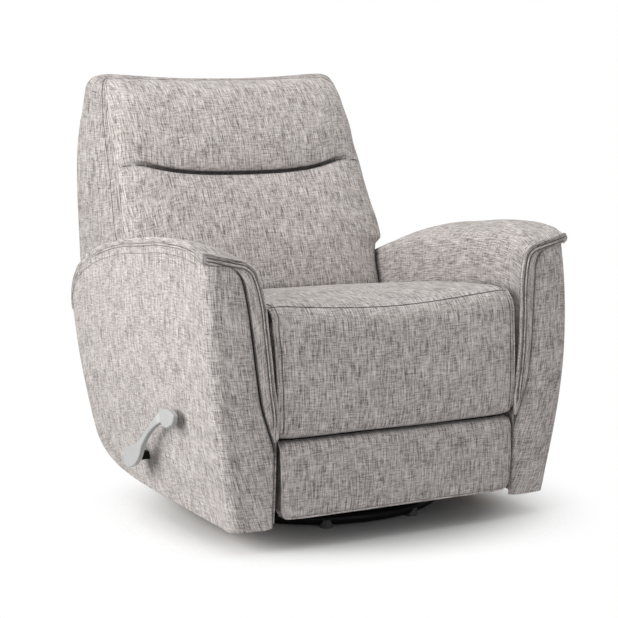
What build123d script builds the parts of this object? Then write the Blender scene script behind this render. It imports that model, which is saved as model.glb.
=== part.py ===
from build123d import *
import os
from math import atan2, cos, degrees, hypot, radians, sin

# Upholstered swivel glider recliner, millimetres, +Z up, the front faces -Y.
# The origin is on the floor under the middle of the chair's box.
# "left" is the -X side, the arm that carries the release lever.

# ------------------------------------------------------------------ overall sizes
WIDTH = 914.4
DEPTH = 965.2
HEIGHT = 1016.0

# ------------------------------------------------------------------ floor base
SWIVEL_Y = -70.0
RING_RADIUS = 290.0
RING_TUBE_D = 25.4
GLIDE_LIFT = 6.0
FLOOR_GLIDE_R = 15.0
FLOOR_GLIDE_COUNT = 8
SPOKE_WIDTH = 32.0
SPOKE_HEIGHT = 12.0
BEARING_R = 92.0
BEARING_PLATE_T = 4.0
BALL_D = 8.0
BALL_COUNT = 24
BALL_PITCH_R = 76.0
BOLT_R = 6.0
BOLT_HEAD_R = 11.0
BOLT_HEAD_H = 8.0
NUT_H = 10.0

# ------------------------------------------------------------------ glide
GLIDE_SPAN = 260.0
GLIDE_LINK_LENGTH = 125.0
GLIDE_TOP_Z = 200.0
GLIDE_LINK_W = 26.0
GLIDE_LINK_T = 4.0
GLIDE_PIN_R = 5.0
BRACKET_X = 222.0
BRACKET_T = 5.0
BRACKET_POST_W = 34.0
CROSS_MEMBER_W = 36.0
CROSS_MEMBER_H = 20.0
CROSS_MEMBER_SPACING = 150.0
CARRIAGE_T = 6.0
CARRIAGE_HEIGHT = 30.0
CARRIAGE_FRONT_Y = -318.0
CARRIAGE_REAR_Y = 190.0
CROSS_TUBE_R = 12.7
FRONT_TUBE_Y = -300.0
REAR_TUBE_Y = 170.0

# ------------------------------------------------------------------ running fits
PIN_CLEARANCE = 0.05
OPEN_PIVOT_CLEARANCE = 0.4
LAYER_GAP = 2.0
SOFT_GAP = 0.4

# ------------------------------------------------------------------ linkage pivots (Y, Z)
TORQUE_PIVOT = (-45.0, 143.0)
BACK_PIVOT_INSET = 232.6
BACK_PIVOT = (DEPTH / 2 - BACK_PIVOT_INSET, 440.0)
LEG_PIVOT = (-430.0, 478.0)
CRANK_PIVOT = (-385.0, 400.0)
LEG_LINK = (31.0, -153.0)
CRANK_ARM = (15.0, -58.0)
PLATE_X = 262.0
PLATE_T = 4.0
LINK_T = 4.0
LINK_W = 22.0
FLANGE_W = 28.0
FLANGE_T = 5.0
LINK_PIN_R = 4.0
TUBE_R = 9.5
TUBE_WALL = 1.0
SHAFT_SQUARE = 12.0
SHAFT_IN_TUBE = 20.0
FRAME_PLATE_T = 5.0
FRAME_PLATE_W = 90.0

# ------------------------------------------------------------------ side rails, arms
ARM_INNER_X = 303.0
SIDE_RAIL_T = 22.0
SIDE_RAIL_BOTTOM = 60.0
SIDE_RAIL_TOP = 120.0
SIDE_RAIL_FRONT_Y = -395.0
SIDE_RAIL_REAR_Y = 286.0
SIDE_RAIL_RISE_Y = 150.0
ARM_TIP = (-447.0, 640.0)
ARM_SHOULDER = (254.0, 571.0)
ARM_NOSE = (331.0, 470.0)
ARM_REAR_FOOT = (290.0, 140.0)
ARM_ANKLE = (276.0, 112.0)
ARM_HEEL = (-20.0, 58.0)
ARM_FRONT_FOOT_Y = -460.0
ARM_PADDING = 14.0
ARM_BOARD = 18.0
ARM_LIP_DROP = 15.0
ARM_SIDE_INSET = 1.0
ARM_TUCK = 56.2
ARM_TOP_SLOPE = 0.27
ARM_BOTTOM_Z = 51.0
SHAFT_HOLE_R = 14.0
APRON_FRONT_Y = 300.0
APRON_T = 16.0
APRON_BOTTOM = 95.0
APRON_TOP = 368.0

# ------------------------------------------------------------------ seat
SEAT_RAIL_T = 22.0
SEAT_RAIL_BOTTOM = 350.0
SEAT_RAIL_TOP = 395.0
FRONT_RAIL_Y = -394.0
FRONT_RAIL_T = 18.0
FRONT_RAIL_BOTTOM = 414.0
FRONT_RAIL_TOP = 499.0
REAR_RAIL_Y = BACK_PIVOT[0] - 33.0
REAR_RAIL_T = 18.0
SPRING_WIRE_R = 2.0
SPRING_FRONT_Z = 420.0
SPRING_PITCH = 38.0
SPRING_REACH = 27.0
SPRING_BEND_R = 13.0
SPRING_COUNT = 5
SPRING_SPACING = 100.0
SEAT_CUSHION_HALF_BOTTOM = 308.0
SEAT_CUSHION_HALF_TOP = 321.0
SEAT_REAR_Y = BACK_PIVOT[0] - 18.0
SEAT_SEAM_Y = -438.0
SEAT_SEAM_Z = 520.0
FLAP_RISE = 4.0

# ------------------------------------------------------------------ leg rest
PAD_HALF_WIDTH = 297.0
PAD_FRONT_Y = -DEPTH / 2
PAD_BACK_Y = -425.0
KNUCKLE_R = 34.0
PAD_SPLIT_Z = 237.0
PAD_BOTTOM_Z = 66.0
FOOT_PAD_HALF_WIDTH = 289.0
BOARD_T = 12.0
BOARD_MARGIN = 14.0

# ------------------------------------------------------------------ back
BACK_LEAN = 25.4
SEAM_FOOT = (BACK_PIVOT[0] - 89.0, 470.0)
BACK_CUSHION_DEPTH = 52.0
LUMBAR_LENGTH = 338.0
LUMBAR_BULGE = 32.0
HEADREST_LENGTH = 238.0
HEADREST_BULGE = 26.0
HEADREST_TOP_R = 30.0
BACK_FRAME_T = 18.0
BACK_FRAME_HALF = 345.0
BACK_STILE_W = 28.0
BACK_FRAME_FOOT = 26.0
BACK_FRAME_WIDENS = (190.0, 225.0)
BACK_FRAME_BELOW_TOP = 90.0
BACK_SILL_TOP = 70.0
BACK_HEADER_W = 60.0
BACK_SHELL_T = 16.0
BACK_ARM_GAP = 8.0
BACK_SKIRT_Z = 446.0
WEBBING_COUNT = 4
WEBBING_W = 50.0
WEBBING_T = 2.0

# ------------------------------------------------------------------ lever
LEVER_OUTER_X = 470.0
LEVER_T = 11.0
LEVER_HUB_R = 25.0
LEVER_CORNER_R = 5.0
LEVER_EDGE_R = 3.0
LEVER_CAP_T = 3.0
LEVER_SHAFT_SQUARE = 18.0
LEVER_SHAFT_LENGTH = 70.0

# ------------------------------------------------------------------ worked-out heights
ring_z = GLIDE_LIFT + RING_TUBE_D / 2
spoke_top = ring_z + SPOKE_HEIGHT / 2
lower_plate_top = spoke_top + BEARING_PLATE_T
upper_plate_bottom = lower_plate_top + BALL_D
upper_plate_top = upper_plate_bottom + BEARING_PLATE_T
glide_bottom_z = GLIDE_TOP_Z - GLIDE_LINK_LENGTH
glide_front_y = SWIVEL_Y - GLIDE_SPAN / 2
glide_rear_y = SWIVEL_Y + GLIDE_SPAN / 2
link_x = BRACKET_X + BRACKET_T + LAYER_GAP
carriage_x = link_x + GLIDE_LINK_T + LAYER_GAP
crank_x = PLATE_X - LAYER_GAP - LINK_T
leg_bracket_x = crank_x - LAYER_GAP - LINK_T
coupler_x = leg_bracket_x - LAYER_GAP - LINK_T
side_rail_x = ARM_INNER_X - SIDE_RAIL_T
frame_plate_x = side_rail_x - FRAME_PLATE_T
seat_rail_x = PLATE_X + PLATE_T
half_width = WIDTH / 2


# ------------------------------------------------------------------ helpers
def prism_x(face, x_low, x_high):
    """A face drawn in (Y, Z), pulled along X."""
    return extrude(Plane.YZ.offset(x_low) * face, amount=x_high - x_low)


def prism_y(face, y_low, y_high):
    """A face drawn in (X, Z), pulled along Y."""
    return extrude(Plane.XZ.offset(-y_high) * face, amount=y_high - y_low)


def block(x, y, z):
    """A box from three (low, high) pairs."""
    size = Box(x[1] - x[0], y[1] - y[0], z[1] - z[0])
    return Pos((x[0] + x[1]) / 2, (y[0] + y[1]) / 2, (z[0] + z[1]) / 2) * size


def both_sides(shape):
    """The +X piece and its mirror image."""
    return [mirror(shape, about=Plane.YZ), shape]


def rod_x(centre, radius, x_low, x_high):
    """A round bar along X at (Y, Z)."""
    return prism_x(Pos(*centre) * Circle(radius), x_low, x_high)


def bar(start, end, width):
    """A round-ended bar face between two points."""
    length = hypot(end[0] - start[0], end[1] - start[1])
    turn = degrees(atan2(end[1] - start[1], end[0] - start[0]))
    middle = Pos((start[0] + end[0]) / 2, (start[1] + end[1]) / 2)
    return middle * Rot(0, 0, turn) * SlotCenterToCenter(length, width)


def add(point, step):
    return (point[0] + step[0], point[1] + step[1])


def hole(centre, radius):
    return Pos(*centre) * Circle(radius)


def save(name, *solids):
    shape = solids[0] if len(solids) == 1 else Compound(children=list(solids))
    export_step(shape, f"parts/{name}.step")


def save_pair(name, shape):
    """The +X piece and its mirror image, each in its own node."""
    for side, piece in zip(("left", "right"), both_sides(shape)):
        save(f"{name}_{side}", piece)


# ------------------------------------------------------------------ floor base
def ring_tube():
    return Pos(0, SWIVEL_Y, ring_z) * Torus(RING_RADIUS, RING_TUBE_D / 2)


def base_pieces():
    ring = ring_tube()
    spoke_length = 2 * RING_RADIUS
    spoke = Box(spoke_length, SPOKE_WIDTH, SPOKE_HEIGHT)
    spokes = Rot(0, 0, 45) * spoke + Rot(0, 0, -45) * spoke
    spokes = Pos(0, SWIVEL_Y, ring_z) * spokes - ring - king_bolt_bore(BOLT_R)
    save("floor_ring", ring)
    save("base_spokes", spokes)
    plate = Pos(0, SWIVEL_Y, spoke_top + BEARING_PLATE_T / 2) * Cylinder(BEARING_R, BEARING_PLATE_T)
    save("lower_bearing_plate", plate - king_bolt_bore(BOLT_R))
    balls = [
        Pos(0, SWIVEL_Y, lower_plate_top + BALL_D / 2) * Rot(0, 0, 360 * i / BALL_COUNT)
        * Pos(BALL_PITCH_R, 0, 0) * Sphere(BALL_D / 2 - PIN_CLEARANCE)
        for i in range(BALL_COUNT)
    ]
    save("bearing_balls", *balls)
    shank_bottom = ring_z - SPOKE_HEIGHT / 2
    nut_bottom = upper_plate_top + PIN_CLEARANCE
    bolt = vertical_bar(BOLT_R, shank_bottom, nut_bottom + NUT_H + 2)
    bolt += vertical_bar(BOLT_HEAD_R, shank_bottom - BOLT_HEAD_H, shank_bottom)
    bolt += vertical_bar(BOLT_HEAD_R, nut_bottom, nut_bottom + NUT_H)
    save("king_bolt", bolt)
    glides = []
    for i in range(FLOOR_GLIDE_COUNT):
        spot = Rot(0, 0, 360 * (i + 0.5) / FLOOR_GLIDE_COUNT) * Pos(RING_RADIUS, 0, ring_z / 2)
        foot = Pos(0, SWIVEL_Y, 0) * spot * Cylinder(FLOOR_GLIDE_R, ring_z)
        glides.append(foot - ring)
    save("floor_glides", *glides)


def vertical_bar(radius, low, high):
    return Pos(0, SWIVEL_Y, (low + high) / 2) * Cylinder(radius, high - low)


def king_bolt_bore(radius):
    return vertical_bar(radius, 0, GLIDE_TOP_Z)


# ------------------------------------------------------------------ turntable
def turntable_pieces():
    plate = Pos(0, SWIVEL_Y, upper_plate_top - BEARING_PLATE_T / 2)
    plate = plate * Cylinder(BEARING_R, BEARING_PLATE_T)
    save("upper_bearing_plate", plate - king_bolt_bore(BOLT_R + PIN_CLEARANCE))
    members = []
    for side in (-1, 1):
        middle = SWIVEL_Y + side * CROSS_MEMBER_SPACING / 2
        members.append(block(
            (-BRACKET_X, BRACKET_X),
            (middle - CROSS_MEMBER_W / 2, middle + CROSS_MEMBER_W / 2),
            (upper_plate_top, upper_plate_top + CROSS_MEMBER_H),
        ))
    save("turntable_cross_members", *members)
    foot_top = upper_plate_top + CROSS_MEMBER_H + 10
    middle_z = (upper_plate_top + foot_top) / 2
    face = Pos(SWIVEL_Y, middle_z) * Rectangle(GLIDE_SPAN + BRACKET_POST_W, foot_top - upper_plate_top)
    for y in (glide_front_y, glide_rear_y):
        post = Pos(y, (upper_plate_top + GLIDE_TOP_Z) / 2)
        face += post * Rectangle(BRACKET_POST_W, GLIDE_TOP_Z - upper_plate_top)
        face += hole((y, GLIDE_TOP_Z), BRACKET_POST_W / 2)
    for y in (glide_front_y, glide_rear_y):
        face -= hole((y, GLIDE_TOP_Z), GLIDE_PIN_R + PIN_CLEARANCE)
    save_pair("glide_bracket", prism_x(face, BRACKET_X, BRACKET_X + BRACKET_T))


# ------------------------------------------------------------------ glide links
def glide_link_pieces():
    for name, y in (("front", glide_front_y), ("rear", glide_rear_y)):
        top, bottom = (y, GLIDE_TOP_Z), (y, glide_bottom_z)
        face = bar(top, bottom, GLIDE_LINK_W) - hole(top, GLIDE_PIN_R) - hole(bottom, GLIDE_PIN_R)
        link = prism_x(face, link_x, link_x + GLIDE_LINK_T)
        save(f"{name}_glide_links", *both_sides(link))
        top_pin = rod_x(top, GLIDE_PIN_R, BRACKET_X - 3, link_x + GLIDE_LINK_T)
        bottom_pin = rod_x(bottom, GLIDE_PIN_R, link_x, carriage_x + CARRIAGE_T + 3)
        save(f"{name}_glide_pins", *both_sides(top_pin), *both_sides(bottom_pin))


# ------------------------------------------------------------------ chair frame
def frame_pieces():
    length = CARRIAGE_REAR_Y - CARRIAGE_FRONT_Y
    middle_y = (CARRIAGE_REAR_Y + CARRIAGE_FRONT_Y) / 2
    face = Pos(middle_y, glide_bottom_z) * Rectangle(length, CARRIAGE_HEIGHT)
    for y in (FRONT_TUBE_Y, REAR_TUBE_Y):
        face -= hole((y, glide_bottom_z), CROSS_TUBE_R)
    for y in (glide_front_y, glide_rear_y):
        face -= hole((y, glide_bottom_z), GLIDE_PIN_R + PIN_CLEARANCE)
    save_pair("carriage_rail", prism_x(face, carriage_x, carriage_x + CARRIAGE_T))
    for name, y in (("front", FRONT_TUBE_Y), ("rear", REAR_TUBE_Y)):
        save(f"{name}_cross_tube", rod_x((y, glide_bottom_z), CROSS_TUBE_R, -side_rail_x, side_rail_x))
    rail = make_face(Polyline(
        (SIDE_RAIL_FRONT_Y, SIDE_RAIL_BOTTOM), (SIDE_RAIL_RISE_Y, SIDE_RAIL_BOTTOM),
        (SIDE_RAIL_REAR_Y, APRON_BOTTOM), (SIDE_RAIL_REAR_Y, SIDE_RAIL_TOP),
        (SIDE_RAIL_FRONT_Y, SIDE_RAIL_TOP), close=True,
    ))
    save_pair("side_rail", prism_x(rail, side_rail_x, ARM_INNER_X))
    y, z = TORQUE_PIVOT
    half = FRAME_PLATE_W / 2
    plate = Pos(y, (SIDE_RAIL_BOTTOM + z) / 2) * Rectangle(FRAME_PLATE_W, z - SIDE_RAIL_BOTTOM)
    plate += bar((y - half / 2, z), (y + half / 2, z), half)
    plate -= hole(TORQUE_PIVOT, TUBE_R + PIN_CLEARANCE)
    save_pair("frame_plate", prism_x(plate, frame_plate_x, side_rail_x))
    save("rear_apron", block(
        (-ARM_INNER_X, ARM_INNER_X), (APRON_FRONT_Y, APRON_FRONT_Y + APRON_T), (APRON_BOTTOM, APRON_TOP)
    ) + block(
        (-ARM_INNER_X, ARM_INNER_X), (SIDE_RAIL_REAR_Y, APRON_FRONT_Y), (APRON_BOTTOM, SIDE_RAIL_TOP)
    ))


# ------------------------------------------------------------------ arms
def arm_crest(drop=0.0):
    """The arch along the top of an arm, from the front tip to the rear nose, as (Y, Z) edges."""
    tip, shoulder, nose = (add(point, (0, -drop)) for point in (ARM_TIP, ARM_SHOULDER, ARM_NOSE))
    front, mid = (-340, 661.5 - drop), (-200, 659 - drop)
    return [
        ThreePointArc(tip, front, mid),
        ThreePointArc(mid, (54, 630 - drop), shoulder),
        ThreePointArc(shoulder, (316, 525 - drop), nose),
    ]


def arm_side_face():
    """The arm seen from the side."""
    front_foot = (ARM_FRONT_FOOT_Y, ARM_BOTTOM_Z)
    edges = arm_crest() + [
        Polyline(ARM_NOSE, (320, 390), ARM_REAR_FOOT),
        ThreePointArc(ARM_REAR_FOOT, (286, 124), ARM_ANKLE),
        ThreePointArc(ARM_ANKLE, (165, 76), ARM_HEEL),
        Line(ARM_HEEL, front_foot),
        ThreePointArc(front_foot, (-474.5, 325), ARM_TIP),
    ]
    return make_face(edges)


def below_crest_face(drop):
    """Everything in front of, below and behind the arm's arch lowered by drop."""
    far = 700
    tip, nose = add(ARM_TIP, (0, -drop)), add(ARM_NOSE, (0, -drop))
    return make_face(arm_crest(drop) + [
        Polyline(nose, (far, nose[1]), (far, -far), (-far, -far), (-far, tip[1]), tip),
    ])


def arm_front_face():
    """The arm seen from the front, the +X one, as (X, Z)."""
    inner = ARM_INNER_X
    outer = half_width - ARM_SIDE_INSET
    return make_face([
        Line((inner, ARM_BOTTOM_Z - 2), (inner, 246)),
        ThreePointArc((inner, 246), (inner + 13.5, 426), (inner + 21.5, 527)),
        ThreePointArc((inner + 21.5, 527), (inner + 29.5, 572), (inner + 49, 622)),
        Line((inner + 49, 622), (inner + 80, 690)),
        Line((inner + 80, 690), (outer, 690)),
        Line((outer, 690), (outer, 540)),
        ThreePointArc((outer, 540), (outer - 14, 300), (outer - ARM_TUCK, ARM_BOTTOM_Z - 2)),
        Line((outer - ARM_TUCK, ARM_BOTTOM_Z - 2), (inner, ARM_BOTTOM_Z - 2)),
    ])


def sloping_top(drop):
    """The room under the arm's top, which falls towards the seat."""
    fall = Vector(-1, 0, -ARM_TOP_SLOPE)
    face = Plane.YZ.offset(half_width) * below_crest_face(drop)
    reach = half_width - ARM_INNER_X + 40
    return extrude(face, amount=reach * fall.length, dir=fall.normalized())


def arm_body(inset=0.0):
    side, front = arm_side_face(), arm_front_face()
    if inset:
        side, front = offset(side, -inset), offset(front, -inset)
    else:
        side += make_face(Polyline(
            ARM_TIP, add(ARM_TIP, (0, 100)), add(ARM_NOSE, (0, 300)), ARM_NOSE, close=True,
        ))
    body = prism_x(side, ARM_INNER_X - 20, half_width) & prism_y(front, -500, 360)
    return body & sloping_top(inset)


def arm_pieces():
    inner = ARM_INNER_X
    body = arm_body()
    core = arm_body(ARM_PADDING)
    front_panel = make_face(Polyline(
        (inner + 14, -20), (inner + 14, 256), (inner + 40, 379), (inner + 58, 546),
        (inner + 70, 603), (inner + 128, 622), (600, 622), (600, 750), (700, 750), (700, -20),
        close=True,
    ))
    outer_side = prism_y(front_panel, -520, -440)
    outer_side += block((half_width - 75, 600), (-440, 400), (-20, 750))
    outer_side += block((inner + 40, 600), (-440, 400), (-20, ARM_BOTTOM_Z + 60))
    outer_side &= sloping_top(ARM_LIP_DROP)
    padding = body - core
    outer_cover = padding & outer_side
    lip = prism_x(arm_side_face() - below_crest_face(ARM_LIP_DROP), half_width - 30, half_width)
    lip &= sloping_top(0)
    top_cover = (padding - outer_side) + (lip - core)
    boards = core - prism_x(offset(arm_side_face(), -ARM_PADDING - ARM_BOARD), inner, half_width)
    shaft_hole = rod_x(TORQUE_PIVOT, SHAFT_HOLE_R, inner - 20, half_width + 10)
    for side, flip in (("left", True), ("right", False)):
        for name, piece in (("arm_outer_cover", outer_cover), ("arm_top_cover", top_cover),
                            ("arm_frame", boards)):
            if flip:
                piece = mirror(piece - shaft_hole, about=Plane.YZ)
            save(f"{name}_{side}", piece)


# ------------------------------------------------------------------ seat unit
def spring_height(y):
    """The middle of the spring wire, which falls from the front rail to the rear rail."""
    front_y = FRONT_RAIL_Y + FRONT_RAIL_T
    rear_z = SEAT_RAIL_TOP + SPRING_WIRE_R
    share = (y - front_y) / (REAR_RAIL_Y + REAR_RAIL_T / 2 - front_y)
    return SPRING_FRONT_Z + (rear_z - SPRING_FRONT_Z) * share


def seat_side_plate():
    rail_line = SEAT_RAIL_TOP - 6
    outline = make_face(Polyline(
        add(TORQUE_PIVOT, (-24, -16)), add(CRANK_PIVOT, (-15, -10)),
        (PAD_BACK_Y + BOARD_T + 3, LEG_PIVOT[1] - 14), add(LEG_PIVOT, (0, -12)),
        add(LEG_PIVOT, (9, 9)), add(CRANK_PIVOT, (14, 8)), (FRONT_RAIL_Y + 60, rail_line),
        (SEAT_REAR_Y + 1, rail_line), add(BACK_PIVOT, (-14, 0)), add(BACK_PIVOT, (14, 0)),
        add(BACK_PIVOT, (10, -60)), add(TORQUE_PIVOT, (24, -16)), close=True,
    ))
    for centre, radius in ((TORQUE_PIVOT, 26), (LEG_PIVOT, 12), (CRANK_PIVOT, 15), (BACK_PIVOT, 14)):
        outline += hole(centre, radius)
    outline -= hole(TORQUE_PIVOT, TUBE_R + PIN_CLEARANCE)
    for centre in (LEG_PIVOT, CRANK_PIVOT, BACK_PIVOT):
        outline -= hole(centre, LINK_PIN_R)
    return prism_x(outline, PLATE_X, PLATE_X + PLATE_T)


def seat_top_edges(rise=0.0):
    """The cushion's top from the front seam to its rear end, as (Y, Z) edges."""
    seam, crown, rear = (SEAT_SEAM_Y, SEAT_SEAM_Z + rise), (-285, 531 + rise), (SEAT_REAR_Y, 458 + rise)
    return seam, rear, [
        ThreePointArc(seam, (-390, 528 + rise), crown),
        ThreePointArc(crown, (-60, 503 + rise), rear),
    ]


def seat_cushion_solid():
    seam, rear, top = seat_top_edges()
    shelf_y = FRONT_RAIL_Y + FRONT_RAIL_T + SOFT_GAP
    underside = SPRING_WIRE_R
    flap_z = LEG_PIVOT[1] + KNUCKLE_R + SOFT_GAP
    face = make_face(top + [Polyline(
        rear,
        (SEAT_REAR_Y, spring_height(SEAT_REAR_Y) + underside),
        (shelf_y, spring_height(shelf_y) + underside),
        (shelf_y, flap_z), (LEG_PIVOT[0], flap_z), (SEAT_SEAM_Y, flap_z + FLAP_RISE), seam,
    )])
    low, high = spring_height(SEAT_REAR_Y), 535
    width = make_face(Polyline(
        (-SEAT_CUSHION_HALF_BOTTOM, low - 5), (SEAT_CUSHION_HALF_BOTTOM, low - 5),
        (SEAT_CUSHION_HALF_TOP, high), (-SEAT_CUSHION_HALF_TOP, high), close=True,
    ))
    return prism_x(face, -340, 340) & prism_y(width, -500, 300)


def spring_wire(x):
    """One sinuous spring, a flat wave from the front rail to the rear rail."""
    front_y = FRONT_RAIL_Y + FRONT_RAIL_T + SOFT_GAP
    rear_y = REAR_RAIL_Y + REAR_RAIL_T / 2
    turns = int((rear_y - front_y) / SPRING_PITCH) - 1
    lead = (rear_y - front_y - turns * SPRING_PITCH) / 2
    corners, side = [(0, 0), (lead, 0)], 1
    for i in range(turns):
        corners += [(lead + i * SPRING_PITCH, side * SPRING_REACH),
                    (lead + (i + 1) * SPRING_PITCH, side * SPRING_REACH)]
        side = -side
    corners += [(lead + turns * SPRING_PITCH, 0), (rear_y - front_y, 0)]
    flat = FilletPolyline(*corners, radius=SPRING_BEND_R)
    fall = atan2(spring_height(rear_y) - SPRING_FRONT_Z, rear_y - front_y)
    tilt = Plane(
        origin=(x, front_y, SPRING_FRONT_Z), x_dir=(0, cos(fall), sin(fall)),
        z_dir=(0, -sin(fall), cos(fall)),
    )
    path = tilt * flat
    section = Plane(origin=path @ 0, z_dir=path % 0) * Circle(SPRING_WIRE_R)
    return sweep(section, path=path)


def seat_pieces():
    save_pair("seat_side_plate", seat_side_plate())
    save_pair("seat_rail", block(
        (seat_rail_x, seat_rail_x + SEAT_RAIL_T), (FRONT_RAIL_Y, REAR_RAIL_Y),
        (SEAT_RAIL_BOTTOM, SEAT_RAIL_TOP),
    ))
    save("seat_front_rail", block(
        (-PLATE_X, PLATE_X), (FRONT_RAIL_Y, FRONT_RAIL_Y + FRONT_RAIL_T),
        (FRONT_RAIL_BOTTOM, FRONT_RAIL_TOP),
    ))
    reach = seat_rail_x + SEAT_RAIL_T
    rear = block(
        (-reach, reach), (REAR_RAIL_Y, REAR_RAIL_Y + REAR_RAIL_T), (SEAT_RAIL_BOTTOM, SEAT_RAIL_TOP)
    )
    for plate in both_sides(seat_side_plate()):
        rear -= plate
    save("seat_rear_rail", rear)
    first = -SPRING_SPACING * (SPRING_COUNT - 1) / 2
    save("seat_springs", *[spring_wire(first + SPRING_SPACING * i) for i in range(SPRING_COUNT)])
    save("seat_cushion", seat_cushion_solid())
    pins = []
    outer = PLATE_X + PLATE_T
    for centre, inner in ((LEG_PIVOT, leg_bracket_x), (CRANK_PIVOT, crank_x), (BACK_PIVOT, crank_x)):
        pins += both_sides(rod_x(centre, LINK_PIN_R, inner - 1.5, outer + 1.5))
    save("seat_pivot_pins", *pins)


# ------------------------------------------------------------------ leg rest and its linkage
def leg_rest_pieces():
    y, z = LEG_PIVOT
    front = (PAD_FRONT_Y, 310)
    chaise = make_face([
        ThreePointArc((y, z + KNUCKLE_R), (y - 0.707 * KNUCKLE_R, z + 0.707 * KNUCKLE_R), (y - KNUCKLE_R, z)),
        ThreePointArc((y - KNUCKLE_R, z), (-480, 392), front),
        ThreePointArc(front, (-480, 268), (-471, PAD_SPLIT_Z)),
        Polyline((-471, PAD_SPLIT_Z), (PAD_BACK_Y, PAD_SPLIT_Z), (PAD_BACK_Y, z), (y, z + KNUCKLE_R)),
    ])
    pad = prism_x(chaise, -PAD_HALF_WIDTH, PAD_HALF_WIDTH)
    notch = block((coupler_x - 3, PLATE_X + PLATE_T + 4), (y - 16, 0), (z - 24, z + 60))
    for cut in both_sides(notch):
        pad -= cut
    save("chaise_pad", pad)
    board_back = PAD_BACK_Y + BOARD_T
    half_board = PAD_HALF_WIDTH - BOARD_MARGIN
    save("chaise_board", block(
        (-half_board, half_board), (PAD_BACK_Y, board_back), (PAD_SPLIT_Z, z - 22)
    ))
    foot = make_face([
        ThreePointArc((-471, PAD_SPLIT_Z - SOFT_GAP), (-480, 150), (-474, PAD_BOTTOM_Z)),
        Polyline((-474, PAD_BOTTOM_Z), (PAD_BACK_Y, PAD_BOTTOM_Z),
                 (PAD_BACK_Y, PAD_SPLIT_Z - SOFT_GAP), (-471, PAD_SPLIT_Z - SOFT_GAP)),
    ])
    save("footrest_pad", prism_x(foot, -FOOT_PAD_HALF_WIDTH, FOOT_PAD_HALF_WIDTH))
    save("footrest_board", block(
        (-half_board, half_board), (PAD_BACK_Y, board_back),
        (PAD_BOTTOM_Z + BOARD_MARGIN, PAD_SPLIT_Z),
    ))
    ankle = add(LEG_PIVOT, LEG_LINK)
    elbow = (board_back + 6, z - 38)
    toe = (ankle[0], PAD_SPLIT_Z - 60)
    face = bar(LEG_PIVOT, elbow, LINK_W) + bar(elbow, ankle, LINK_W) + bar(ankle, toe, LINK_W)
    face -= hole(LEG_PIVOT, LINK_PIN_R + PIN_CLEARANCE)
    face -= hole(ankle, LINK_PIN_R)
    bracket = prism_x(face, leg_bracket_x, leg_bracket_x + LINK_T)
    bracket += block(
        (leg_bracket_x, leg_bracket_x + FLANGE_W), (board_back, board_back + FLANGE_T),
        (toe[1], ankle[1] - LINK_W),
    )
    bracket -= block((0, half_width), (board_back - 30, board_back), (toe[1] - 30, z - 22))
    save("leg_brackets", *both_sides(bracket))
    save("leg_rest_pins", *both_sides(
        rod_x(ankle, LINK_PIN_R, coupler_x - 1.5, leg_bracket_x + LINK_T)
    ))


def linkage_pieces():
    foot = add(CRANK_PIVOT, LEG_LINK)
    tail = add(CRANK_PIVOT, CRANK_ARM)
    face = bar(CRANK_PIVOT, foot, LINK_W) + bar(CRANK_PIVOT, tail, LINK_W)
    face -= hole(CRANK_PIVOT, LINK_PIN_R + PIN_CLEARANCE)
    face -= hole(foot, LINK_PIN_R) + hole(tail, LINK_PIN_R)
    save("bell_cranks", *both_sides(prism_x(face, crank_x, crank_x + LINK_T)))
    foot_pin = rod_x(foot, LINK_PIN_R, coupler_x - 1.5, crank_x + LINK_T)
    tail_pin = rod_x(tail, LINK_PIN_R, leg_bracket_x - 1.5, crank_x + LINK_T)
    save("bell_crank_pins", *both_sides(foot_pin), *both_sides(tail_pin))

    ankle = add(LEG_PIVOT, LEG_LINK)
    coupler = bar(foot, ankle, LINK_W)
    coupler -= hole(foot, LINK_PIN_R + PIN_CLEARANCE) + hole(ankle, LINK_PIN_R + OPEN_PIVOT_CLEARANCE)
    save("coupler_links", *both_sides(prism_x(coupler, coupler_x, coupler_x + LINK_T)))

    crank_end = add(TORQUE_PIVOT, CRANK_ARM)
    rod = bar(crank_end, tail, LINK_W * 0.8)
    rod -= hole(crank_end, LINK_PIN_R + PIN_CLEARANCE) + hole(tail, LINK_PIN_R + OPEN_PIVOT_CLEARANCE)
    save("drive_rods", *both_sides(prism_x(rod, leg_bracket_x, leg_bracket_x + LINK_T)))


# ------------------------------------------------------------------ release lever
def lever_pieces():
    reach = frame_plate_x + FRAME_PLATE_T
    tube = rod_x(TORQUE_PIVOT, TUBE_R, -reach, reach)
    tube -= rod_x(TORQUE_PIVOT, TUBE_R - TUBE_WALL, -reach - 1, reach + 1)
    save("torque_tube", tube)
    crank_end = add(TORQUE_PIVOT, CRANK_ARM)
    face = bar(TORQUE_PIVOT, crank_end, LINK_W) + hole(TORQUE_PIVOT, TUBE_R + 7)
    face -= hole(TORQUE_PIVOT, TUBE_R) + hole(crank_end, LINK_PIN_R)
    save("drive_cranks", *both_sides(prism_x(face, crank_x, crank_x + LINK_T)))
    save("drive_crank_pins", *both_sides(
        rod_x(crank_end, LINK_PIN_R, leg_bracket_x - 1.5, crank_x + LINK_T)
    ))
    shaft_end = -LEVER_OUTER_X + LEVER_CAP_T
    square = Pos(*TORQUE_PIVOT) * Rectangle(SHAFT_SQUARE, SHAFT_SQUARE)
    thick = Pos(*TORQUE_PIVOT) * Rectangle(LEVER_SHAFT_SQUARE, LEVER_SHAFT_SQUARE)
    shaft = prism_x(square, shaft_end, -reach + SHAFT_IN_TUBE)
    shaft += prism_x(thick, shaft_end, shaft_end + LEVER_SHAFT_LENGTH)
    save("lever_shaft", shaft)
    save("lever_handle", lever_handle() - shaft)


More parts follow.
